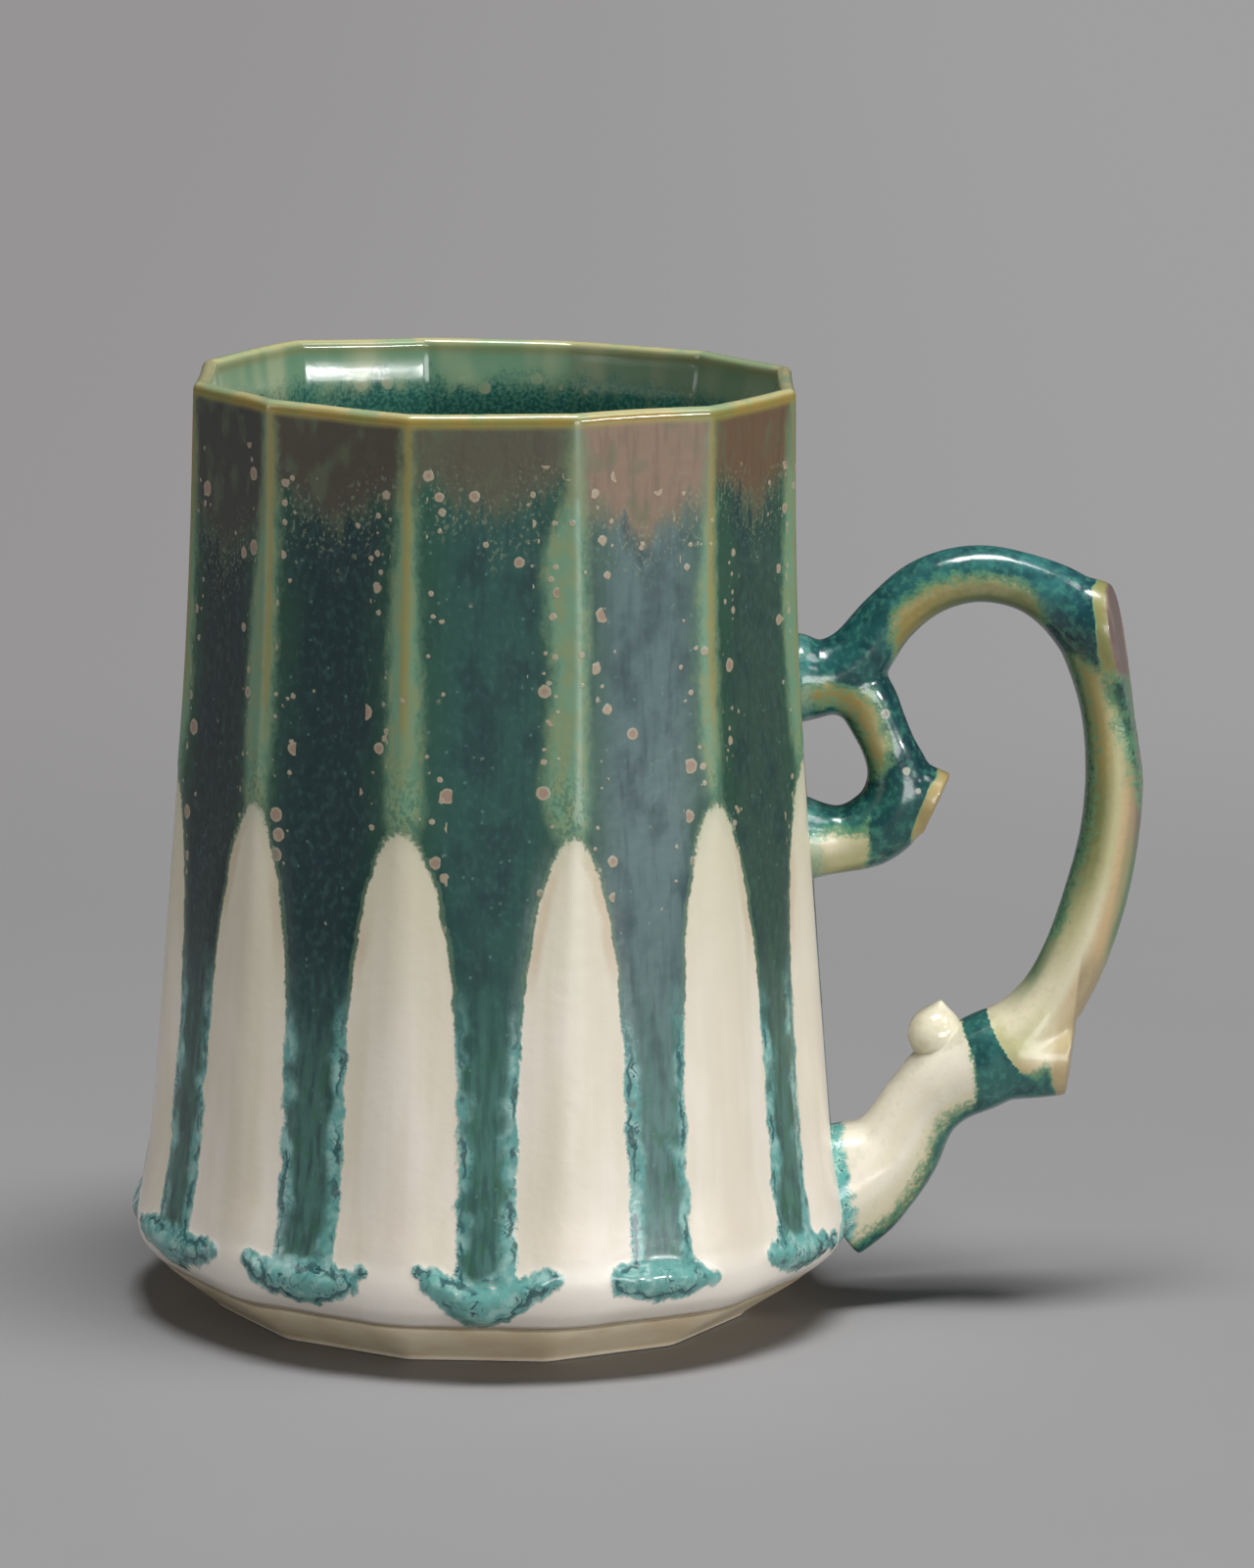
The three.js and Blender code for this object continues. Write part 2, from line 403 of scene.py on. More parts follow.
    def finish(
        self, colour: Input, rough: Input, relief: Input, depth: float
    ) -> bpy.types.Material:
        """Links the colour, the roughness and a fine relief to the shader.

        Args:
            colour: base colour.
            rough: roughness.
            relief: height of the surface, from 0 to 1.
            depth: depth of that relief.

        Returns:
            The glaze.
        """
        bump = self.node("Bump", {"Strength": 1.0, "Distance": depth * MM, "Height": relief})
        self.set(Base_Color=colour, Roughness=rough, Normal=bump.outputs["Normal"])
        return self.material


# Body


@dataclass
class BodyOutline:
    """Outline of the twelve-sided body, as its solid has it.

    Attributes:
        stations: height, radius at the ridges, rounding of the ridges and lean of the wall.
        sides: number of facets.
        samples: number of points of the curve.
        curve: smooth curve through the stations.
    """

    stations: Table = (
        (7.15, 46.8, 14, 0.5),
        (10, 49.6, 22, 0.9),
        (13, 50.3, 24, 1.1),
        (17, 49.8, 20, 1.1),
        (24, 48.7, 17, 1.0),
        (36, 47.7, 13, 0.9),
        (60, 45.9, 8, 0.6),
        (85, 44.1, 2.8, 0.3),
        (110, 42.9, 2.5, 0.1),
        (128.9, 42.4, 2.5, 0),
    )
    sides: int = 12
    samples: int = 400
    curve: Array = field(init=False)

    def __post_init__(self) -> None:
        """Draws the smooth curve through the stations."""
        knots = np.array(self.stations, float)
        self.curve = np.array([curve_through(knots, where)
                               for where in np.linspace(0, len(knots) - 1, self.samples)])

    def at(self, height: Array) -> tuple[Array, Array, Array]:
        """Radius at the ridges, rounding of the ridges and lean at each height."""
        heights = self.curve[:, 0]
        return tuple(np.interp(height, heights, self.curve[:, k]) for k in (1, 2, 3))

    def beside(self, points: Array) -> tuple[Array, Array, Array]:
        """Where points lie to the outer wall.

        Args:
            points: the points, one row each.

        Returns:
            The body's lean, the distance from its axis and the wall's own distance there.
        """
        corner, rounding, lean = self.at(points[:, 2])
        across = points[:, 0] - lean
        bearing = np.degrees(np.arctan2(across, -points[:, 1]))
        wall = faceted_radius(bearing, corner, rounding, self.sides)
        return lean, np.hypot(across, points[:, 1]), wall


def hermite(
    part: float, start: Array, end: Array, leave: Array, arrive: Array
) -> Array:
    """Point of a curve from start to end.

    Args:
        part: how far from start to end, from 0 to 1.
        start: where the curve starts.
        end: where it ends.
        leave: its slope at the start.
        arrive: its slope at the end.

    Returns:
        The point.
    """
    square, cube = part * part, part ** 3
    return ((2 * start - 2 * end + leave + arrive) * cube
            + (-3 * start + 3 * end - 2 * leave - arrive) * square + leave * part + start)


def curve_through(knots: Sequence[Array], where: float) -> Array:
    """Point of a smooth curve through knots.

    Args:
        knots: the knots.
        where: number of a knot, whole or not.

    Returns:
        The point.
    """
    last = len(knots) - 1
    here = min(int(where), last - 1)
    start, end = knots[here], knots[here + 1]
    before, after = knots[max(here - 1, 0)], knots[min(here + 2, last)]
    return hermite(where - here, start, end, (end - before) / 2, (after - start) / 2)


def by_ridge(bearing: Array, values: Sequence[float]) -> Array:
    """Value at each bearing, straight from ridge to ridge, of 13 values from -165 degrees on."""
    wrapped = np.mod(bearing + 165, 360) - 165
    return np.interp(wrapped, np.arange(-165, 200, 30), values)


def faceted_radius(
    bearing: Array, corner: Array, rounding: Array, sides: int
) -> Array:
    """Radius of a regular section with rounded ridges, which lie half a facet off bearing 0.

    Args:
        bearing: bearings in degrees.
        corner: radius at the ridges.
        rounding: radius of the ridges' own rounding.
        sides: number of facets.

    Returns:
        The radius at each bearing.
    """
    facet = 360 / sides
    half = math.radians(facet / 2)
    off = np.radians(np.abs(np.mod(bearing, facet) - facet / 2))
    inner = corner - rounding
    flat = (inner * math.cos(half) + rounding) / np.cos(half - off)
    arc_end = np.arctan2(rounding * math.sin(half), inner + rounding * math.cos(half))
    reach = np.maximum(rounding ** 2 - (inner * np.sin(off)) ** 2, 0)
    return np.where(off < arc_end, inner * np.cos(off) + np.sqrt(reach), flat)


@dataclass(frozen=True)
class Petal:
    """Bare cream petal on one ridge, between two runs of glaze.

    Attributes:
        middle: bearing of its middle where it is widest.
        tip: bearing of its tip.
        top: height of its tip.
        left: half width to the left, in degrees.
        right: half width to the right, in degrees.
    """

    middle: float
    tip: float
    top: float
    left: float
    right: float


@dataclass(frozen=True)
class Pool:
    """Pool of glaze at the end of a run: round drops that have flowed together.

    Attributes:
        middle: bearing of the run.
        drops: each drop's distance to the right, height and radius.
    """

    middle: float
    drops: Table


@dataclass(frozen=True)
class Band:
    """Thin glaze that breaks to sage along one ridge.

    Attributes:
        ridge: bearing of the ridge.
        edges: height, left edge and right edge of each level, in degrees from the ridge.
        spine: where its ochre line runs, in degrees from the ridge.
        fading: how much weaker that line is, from 0 to 1.
    """

    ridge: float
    edges: Table
    spine: float
    fading: float = 0.0


@dataclass(frozen=True)
class Facet:
    """Colours of one facet, which hold its glaze and painted light, and where its thin brown top
    ends.

    Attributes:
        thick: colour where the glaze is thick.
        thin: colour where it is thin, under the lip.
        brown_end: height at which the thin zone ends in the facet's middle.
    """

    thick: Colour
    thin: Colour
    brown_end: float


@dataclass
class GlazeLayout:
    """Where the glaze on the wall is thick, thin, run off or pooled.

    Attributes:
        seed: starts the random differences on the sides that turn away.
        facet_angle: turn from one facet to the next, in degrees.
        away: how far off a point counts that is near nothing.
        girth: mean radius of the wall, by which petals and pools are measured.
        depths: distances below the tip of a petal.
        shares: share of its full width that it has there.
        melt: how sharply the drops of a pool part; a large number keeps them round.
        petal_span: how far round from its middle a petal is looked for, in degrees.
        pool_span: how far to the side of its run a pool is looked for.
        pool_rise: up to which height it is looked for.
    """

    seed: int = 12
    facet_angle: float = 30.0
    away: float = 14.0
    girth: float = 47.5
    depths: tuple[float, ...] = (0, 1, 2.5, 5, 10, 15, 20, 25, 35, 50, 80)
    shares: tuple[float, ...] = (0, 0.2, 0.33, 0.47, 0.66, 0.78, 0.87, 0.93, 0.98, 1, 1)
    melt: float = 2.2
    petal_span: float = 21.0
    pool_span: float = 22.0
    pool_rise: float = 26.0
    petals: list[Petal] = field(default_factory=lambda: [
        Petal(-77.0, -76.0, 76.0, 9.6, 9.6),
        Petal(-47.0, -45.7, 76.2, 10.2, 10.0),
        Petal(-15.0, -15.2, 75.0, 10.1, 10.1),
        Petal(14.9, 14.3, 74.4, 9.5, 9.4),
        Petal(45.0, 44.3, 77.5, 9.5, 9.6),
        Petal(76.0, 76.0, 80.0, 10.8, 14.6),
    ])
    pools: list[Pool] = field(default_factory=lambda: [
        Pool(-61.8, ((-10.2, 13.2, 1.1), (-8, 12.8, 1.9), (-5.5, 13, 2.5), (-2.5, 12.3, 3),
                     (0, 12, 3.1), (2.5, 12.6, 2.9), (5.5, 13, 2.4), (8, 13.6, 1.8),
                     (10.2, 14.4, 1.0))),
        Pool(-30.9, ((-8.5, 14.3, 1.3), (-6.5, 13.2, 2), (-4, 12.6, 2.6), (-1, 12.5, 3.1),
                     (1.5, 12.5, 3.1), (4, 12.4, 2.6), (6.5, 13.2, 1.9), (8.8, 15, 1))),
        Pool(0.2, ((-9, 15.8, 1), (-7, 14.2, 1.9), (-4.5, 12.8, 2.3), (-2, 11.2, 3),
                   (0, 10.6, 3.3), (2.5, 11.6, 2.8), (5, 13.2, 2.2), (7.2, 14.3, 1.8),
                   (9, 15.1, 1.2))),
        Pool(29.9, ((-6.3, 14.6, 1.6), (-4.5, 14, 2.4), (-2, 13.8, 2.9), (0.5, 13.7, 2.9),
                    (3, 13.4, 2.4), (5.5, 13.2, 1.9), (7.6, 13.1, 1.1))),
        Pool(59.8, ((-7.2, 14.5, 1.2), (-5, 14, 2), (-2, 13.5, 2.7), (1, 13.1, 2.9),
                    (4, 13, 2.4), (7, 12.8, 1.8), (10.5, 12.4, 1.5), (14.5, 12, 1.3))),
    ])
    bands: list[Band] = field(default_factory=lambda: [
        Band(-75, ((76, -3, 2), (85, -4.4, 3.4), (100, -4.4, 3.2), (118, -3, 2.6),
                   (129, -2, 2)), 0.4),
        Band(-45, ((72, -2, 1.6), (78, -4, 2.6), (86, -5, 2.9), (100, -4.8, 2.9),
                   (110, -3.2, 2.9), (120, -1.6, 2.8), (129, -1.3, 2)), 1.0),
        Band(-15, ((72, -2, 2.2), (78, -3.4, 3.8), (86, -3.3, 3.4), (100, -3.3, 3.2),
                   (110, -2.4, 2.3), (120, -1.5, 1.6), (129, -1.2, 1.2)), 0.2),
        Band(15, ((72, -2, 1), (75, -4, 2), (80, -6.5, 2.4), (88, -5.3, 1.8), (97, -5, 2.1),
                  (106, -6, 2), (113, -6.2, 1.8), (120, -2.3, 1.6), (129, -1.6, 1.4)),
             -1.4, 0.6),
        Band(45, ((73, -1.2, 0.4), (79, -2.4, 0.6), (86, -3.6, 1.1), (100, -3.9, 1.1),
                  (110, -3.2, 0.9), (120, -2.3, 0.7), (129, -1.6, 0.7)), -0.5),
        Band(75, ((76, -3, 1), (86, -4.6, 1.6), (100, -5.7, 1.5), (118, -4.6, 1.2),
                  (129, -3, 1)), -0.8, 0.3),
    ])
    facets: list[Facet] = field(default_factory=lambda: [
        # painted light in the facet colours: the facets at bearings -60 and -30 are painted darker
        # as painted shade, and the facet at bearing 30 lighter with a bluish painted sheen
        Facet(shade(18, 32, 32), shade(54, 55, 49), 112),
        Facet(shade(8, 42, 43), shade(64, 59, 46), 119),
        Facet(shade(40, 78, 71), shade(80, 78, 62), 121.5),
        Facet(shade(82, 104, 104), shade(124, 102, 82), 118),
        Facet(shade(46, 70, 60), shade(100, 79, 57), 120),
    ])

    def __post_init__(self) -> None:
        """Carries the layout round the sides that turn away, with small differences."""
        rng = np.random.default_rng(self.seed)
        for turn in range(6):
            bearing = 105.0 + self.facet_angle * turn
            tip = bearing + rng.uniform(-1, 1)
            self.petals.append(Petal(bearing, tip, rng.uniform(73, 79),
                                     rng.uniform(9.2, 10.2), rng.uniform(9.2, 10.2)))
            model = self.bands[(turn * 3 + 1) % 5]
            widen = rng.uniform(0.8, 1.15)
            edges = tuple((level, -right * widen, -left * widen)
                          for level, left, right in model.edges)
            self.bands.append(Band(bearing, edges, -model.spine, model.fading))
        for turn in range(7):
            side = -1 if rng.random() < 0.5 else 1
            drops = tuple((side * across, height, radius * rng.uniform(0.88, 1.1))
                          for across, height, radius in self.pools[turn % 5].drops)
            self.pools.append(Pool(90.0 + self.facet_angle * turn, drops))
            tone = self.facets[(turn * 2 + 1) % 5]
            self.facets.append(Facet(tone.thick, tone.thin, rng.uniform(117, 122)))

    @property
    def degree(self) -> float:
        """Length of one degree round the wall."""
        return self.girth * math.pi / 180

    @staticmethod
    def turn_between(bearing: Array, middle: float) -> Array:
        """Bearing measured from a middle, from -180 to 180 degrees."""
        return np.mod(bearing - middle + 180, 360) - 180

    def petal_depth(self, petal: Petal, off: Array, height: Array) -> Array:
        """How deep each point lies inside a petal.

        Args:
            petal: the petal.
            off: bearings from its middle, in degrees.
            height: heights above the table.

        Returns:
            The distance to its edge, below zero outside.
        """
        def sides(level: Array) -> tuple[Array, Array]:
            """Left and right edge of the petal at each level, in degrees."""
            share = np.interp(petal.top - level, self.depths, self.shares)
            lean = (petal.tip - petal.middle) * (1 - share)
            return lean - petal.left * share, lean + petal.right * share

        levels = petal.top - np.linspace(0, 1, 90) ** 1.7 * (petal.top - 3)
        left, right = sides(levels)
        edge = np.concatenate([np.stack([left, levels], 1)[::-1], np.stack([right, levels], 1)])
        edge[:, 0] *= self.degree
        across = off * self.degree
        nearest = np.full(len(off), np.inf)
        for start, end in zip(edge[:-1], edge[1:]):
            along = end - start
            size = max(along @ along, 1e-9)
            part = np.clip(((across - start[0]) * along[0] + (height - start[1]) * along[1])
                           / size, 0, 1)
            gap = np.hypot(across - start[0] - part * along[0],
                           height - start[1] - part * along[1])
            nearest = np.minimum(nearest, gap)
        left, right = sides(height)
        inside = (height < petal.top) & (off > left) & (off < right)
        return np.where(inside, nearest, -nearest)

    def bare(self, bearing: Array, height: Array) -> Array:
        """How deep each point lies inside any petal.

        Args:
            bearing: bearings in degrees.
            height: heights above the table.

        Returns:
            The distance to the nearest edge, below zero outside.
        """
        deepest = np.full(len(bearing), -self.away)
        for petal in self.petals:
            off = self.turn_between(bearing, petal.middle)
            near = np.abs(off) < self.petal_span
            depth = self.petal_depth(petal, off[near], height[near])
            deepest[near] = np.maximum(deepest[near], depth)
        return deepest

    def pooled(self, bearing: Array, height: Array) -> Array:
        """How deep each point lies inside any pool.

        Args:
            bearing: bearings in degrees.
            height: heights above the table.

        Returns:
            The depth, below zero outside.
        """
        deepest = np.full(len(bearing), -self.away)
        for pool in self.pools:
            across = self.turn_between(bearing, pool.middle) * self.degree
            near = (np.abs(across) < self.pool_span) & (height < self.pool_rise)
            total = np.zeros(int(near.sum()))
            for centre, level, radius in pool.drops:
                gap = radius - np.hypot(across[near] - centre, height[near] - level)
                total += np.exp(np.clip(gap, -20, 20) * self.melt)
            depth = np.log(np.maximum(total, 1e-9)) / self.melt
            deepest[near] = np.maximum(deepest[near], depth)
        return deepest

    def banded(
        self, bearing: Array, height: Array, degree: Array
    ) -> tuple[Array, Array]:
        """Where the sage bands and their ochre lines run.

        Args:
            bearing: bearings in degrees.
            height: heights above the table.
            degree: length of one degree round the wall at each point.

        Returns:
            How deep each point lies inside a band, and its distance from the ochre line.
        """
        deepest = np.full(len(bearing), -self.away)
        from_spine = np.full(len(bearing), self.away)
        for band in self.bands:
            off = self.turn_between(bearing, band.ridge)
            near = np.abs(off) <= self.facet_angle / 2
            levels, left, right = np.array(band.edges, float).T
            inside = np.minimum(off[near] - np.interp(height[near], levels, left),
                                np.interp(height[near], levels, right) - off[near])
            inside = np.minimum(inside * degree[near], (height[near] - levels[0] + 1) * 0.4)
            deepest[near] = np.maximum(deepest[near], inside)
            away = np.abs(off[near] - band.spine) * degree[near] + band.fading
            from_spine[near] = np.minimum(from_spine[near], away)
        return deepest, from_spine

    def facet_values(self, bearing: Array) -> tuple[Array, Array, Array]:
        """Thick colour, thin colour and brown end of the facet at each bearing."""
        order = np.mod(np.round(bearing / self.facet_angle) + 2, 12).astype(int)
        return tuple(np.array([getattr(facet, name) for facet in self.facets])[order]
                     for name in ("thick", "thin", "brown_end"))


@dataclass
class TurnedShell:
    """Twelve-sided shell that is drawn up ring by ring, refined and then settled to its form.

    Attributes:
        outline: the body's outline.
        columns: points in each ring of the cage.
        crowding: how much the columns crowd towards the ridges.
    """

    outline: BodyOutline
    columns: int = 96
    crowding: float = 1.25

    def rings(self) -> Array:
        """Corner radius, rounding, height and lean of each ring of the cage."""
        raise NotImplementedError

    def form(self, row: Array) -> Array:
        """Corner radius, rounding, height and lean at each row, whole or not."""
        rings = self.rings()
        count = np.arange(len(rings))
        return np.stack([np.interp(row, count, rings[:, k]) for k in range(4)], 1)

    def cage(self, name: str) -> Piece:
        """Draws a ring up through all the rows.

        Args:
            name: the piece's name.

        Returns:
            The open cage, with each point's row stored on it.
        """
        rings = self.rings()
        let_go()
        radius, _, height, _ = rings[0]
        bpy.ops.mesh.primitive_circle_add(
            vertices=self.columns, radius=radius * MM, location=(0, 0, height * MM))
        piece = bpy.context.object
        piece.name = name
        settle_origin(piece)
        with editing(piece):
            bpy.ops.mesh.select_all(action="SELECT")
            for below, above in zip(rings[:-1], rings[1:]):
                rise = (above[2] - below[2]) * MM
                widen = above[0] / below[0]
                bpy.ops.mesh.extrude_region_move(TRANSFORM_OT_translate={"value": (0, 0, rise)})
                bpy.ops.transform.resize(value=(widen, widen, 1), center_override=(0, 0, 0))
        rows = np.repeat(np.arange(len(rings)), self.columns)
        write_fields(piece, row=rows)
        use_modifier(piece, "SUBSURF", subdivision_type="SIMPLE", levels=2, render_levels=2)
        return piece

    def bearings(self, piece: Piece) -> Array:
        """Crowds the columns towards the ridges.

        Args:
            piece: the refined cage.

        Returns:
            The bearing of each point.
        """
        points = points_of(piece)
        plain = np.degrees(np.arctan2(points[:, 0], -points[:, 1]))
        half = 180 / self.outline.sides
        ridge = np.floor(plain / (2 * half)) * 2 * half + half
        off = plain - ridge
        return ridge + half * np.sign(off) * (np.abs(off) / half) ** self.crowding

    def settle(self, piece: Piece, bearing: Array) -> Array:
        """Points of the shell in their place, in millimetres.

        Args:
            piece: the refined cage.
            bearing: bearing of each point.

        Returns:
            The settled points.
        """
        corner, rounding, height, lean = self.form(read_field(piece, "row")).T
        radius = faceted_radius(bearing, corner, rounding, self.outline.sides)
        true_bearing = np.radians(bearing + hand_drift(bearing, height))
        return np.stack([radius * np.sin(true_bearing) + lean, -radius * np.cos(true_bearing),
                         height], 1)


def hand_drift(bearing: Array, height: Array) -> Array:
    """How far each point strays round the hand-built body.

    Args:
        bearing: bearings in degrees.
        height: heights above the table.

    Returns:
        The turn at each point, in degrees.
    """
    low, middle, high = (by_ridge(bearing, values) for values in (
        (0, 0.4, -0.5, 0, 1.0, 0.5, -0.5, -0.4, 0, 0.4, -0.3, 0.3, 0),
        (0.5, 0.6, -0.7, 0, 0.3, 0, 1.5, -0.6, 0.4, 0, 0.6, -0.4, 0.5),
        (0.4, -0.6, 0.5, -1.0, -0.4, 0, 1.0, 0, 1.4, 0, 0.5, 0.6, 0.4),
    ))
    upper, rim = ease(height, 30, 95), ease(height, 100, 130)
    return (low * (1 - upper) + middle * upper) * (1 - rim) + high * rim


@dataclass
class GlazedWall(TurnedShell):
    """Wall of the body, from the seam over the lip and down the inside.

    Attributes:
        layout: where the glaze lies.
        outer_rows: cage rows on the outside.
        lip_rows: cage rows over the lip.
        inner_rows: cage rows on the inside.
        seam: height of the seam above the foot.
        rim_start: height at which the lip starts to turn over.
        lip_radius: radius at which the lip turns over.
        rim_wall: thickness of the wall under the lip.
        shoulder_wall: its thickness lower down.
        floor_corner: radius at the ridges where the inside meets the floor.
        run_end: height of the lower ends of the runs, below which only pools lie.
        pool_top: height above which there are no pools.
        arch: how much lower the brown ends beside the ridges.
        run_relief: how far the runs stand proud.
        pool_relief: how far the pools do.
        deep: depth at which a point counts as far inside the glaze.
    """

    layout: GlazeLayout = field(default_factory=GlazeLayout)
    outer_rows: int = 40
    lip_rows: int = 4
    inner_rows: int = 10
    seam: float = 7.0
    rim_start: float = 128.9
    lip_radius: float = 1.1
    rim_wall: float = 2.2
    shoulder_wall: float = 3.1
    floor_corner: float = 40.4
    run_end: float = 13.5
    pool_top: float = 32.0
    arch: float = 5.0
    run_relief: float = 0.28
    pool_relief: float = 0.85
    deep: float = 12.0

    def rings(self) -> Array:
        """Corner radius, rounding, height and lean of each ring of the cage."""
        last = self.outer_rows + self.lip_rows + self.inner_rows
        return self.form(np.arange(last + 1, dtype=float))

    def form(self, row: Array) -> Array:
        """Corner radius, rounding, height and lean at each row, whole or not."""
        outer = np.clip(row / self.outer_rows, 0, 1)
        over = np.clip((row - self.outer_rows) / self.lip_rows, 0, 1)
        inner = np.clip((row - self.outer_rows - self.lip_rows) / self.inner_rows, 0, 1)
        span = self.rim_start - self.seam
        height = self.seam + span * (outer ** 1.25 - inner ** 1.6)
        corner, rounding, lean = self.outline.at(height)
        down = self.rim_start - height
        wall = self.rim_wall + (self.shoulder_wall - self.rim_wall) * ease(down, 0, 7)
        corner = corner - wall * ease(inner, 0, 1e-6)
        bottom = ease(height, self.seam + 3.2, self.seam) * (inner > 0)
        corner -= (corner - self.floor_corner) * bottom
        edge = np.clip(1 - (height - self.seam) / 0.5, 0, 1) ** 2 * (row < self.outer_rows)
        corner -= 0.45 * edge
        turn = np.pi * over
        corner -= self.lip_radius * (1 - np.cos(turn)) * (inner == 0)
        height = height + self.lip_radius * np.sin(turn)
        return np.stack([corner, rounding, height, lean], 1)

    def build(self) -> Piece:
        """Draws up the wall, closes it at the seam and lays the glaze's relief on it.

        Returns:
            The wall with the fields that its glaze reads.
        """
        piece = self.cage("wall")
        bearing = self.bearings(piece)
        points = self.settle(piece, bearing)
        row = read_field(piece, "row")
        level = points[:, 2].copy()
        points[:, 2] += ease(level, 95, 130) * self.rim_wave(bearing)
        place_points(piece, points)
        write_fields(piece, level=level)
        self.write_layout(piece, bearing, points, row)
        relief = self.relief(piece) * ease(row, self.outer_rows + 1.5, self.outer_rows)
        place_points(piece, points + normals_of(piece) * self.outward(piece) * relief[:, None])
        with editing(piece, "EDGE"):
            select_open_edges()
            bpy.ops.mesh.bridge_edge_loops()
            face_outwards()
        smooth(piece)
        return piece

    @staticmethod
    def rim_wave(bearing: Array) -> Array:
        """How far the hand-cut rim stands above its mean level, straight from ridge to ridge."""
        rises = (0.2, 0.75, 0.7, 0.9, 1.1, 1.1, 1.1, 1.15, 1.1, 1.3, 0.85, -0.1, 0.2)
        return (by_ridge(bearing, rises) + 0.22 * np.sin(np.radians(bearing * 2 + 40))
                + 0.16 * np.sin(np.radians(bearing * 5 - 20)))

    @staticmethod
    def outward(piece: Piece) -> float:
        """Which way the normals of the outer wall point.

        Args:
            piece: the wall, still open at the seam.

        Returns:
            1 if they point away from the axis, otherwise -1.
        """
        points, normals = points_of(piece), normals_of(piece)
        low = points[:, 2] < 60
        radius = np.hypot(points[:, 0], points[:, 1])
        away = (points[:, 0] * normals[:, 0] + points[:, 1] * normals[:, 1]) / radius
        far = low & (radius > np.percentile(radius[low], 70))
        return 1.0 if away[far].mean() > 0 else -1.0

    def write_layout(
        self, piece: Piece, bearing: Array, points: Array, row: Array
    ) -> None:
        """Stores the fields that the glaze reads.

        Args:
            piece: the wall.
            bearing: bearing of each point.
            points: its points.
            row: row of each point.
        """
        height = points[:, 2]
        corner, _, _ = self.outline.at(height)
        lip_top = self.outer_rows + self.lip_rows / 2
        inside = ease(row, lip_top, lip_top + 0.5)
        bare = self.layout.bare(bearing, height)
        pool = self.layout.pooled(bearing, height)
        run = np.minimum(-bare, height - self.run_end)
        glaze = np.where(height < self.pool_top, np.maximum(run, pool), -bare)
        deep, off_band = self.deep, self.layout.away
        half = 180 / self.outline.sides
        off = np.abs(np.mod(bearing, 2 * half) - half)
        thick, thin, brown_end = self.layout.facet_values(bearing)
        arch = brown_end - self.arch * (1 - (half - off) / half) ** 2
        band, spine = self.layout.banded(bearing, height, np.radians(corner))
        write_fields(
            piece, glaze=np.clip(glaze, -deep, deep) * (1 - inside) + deep * inside,
            band=np.clip(band, -off_band, off_band) * (1 - inside) - off_band * inside,
            spine=spine, pool=np.clip(pool, -deep, deep) * (1 - inside) - deep * inside,
            across=off * np.radians(corner), brown=height - arch, inside=inside, thick=thick,
            thin=thin)

    def relief(self, piece: Piece) -> Array:
        """How far the glaze stands proud of the clay.

        Args:
            piece: the wall with its fields.

        Returns:
            The distance at each point.
        """
        glaze, pool = read_field(piece, "glaze"), read_field(piece, "pool")
        height = points_of(piece)[:, 2]
        run = self.run_relief * ease(glaze, -0.1, 2.2) * ease(height, 95, 60)
        return run + self.pool_relief * ease(pool, -0.3, 2.8)


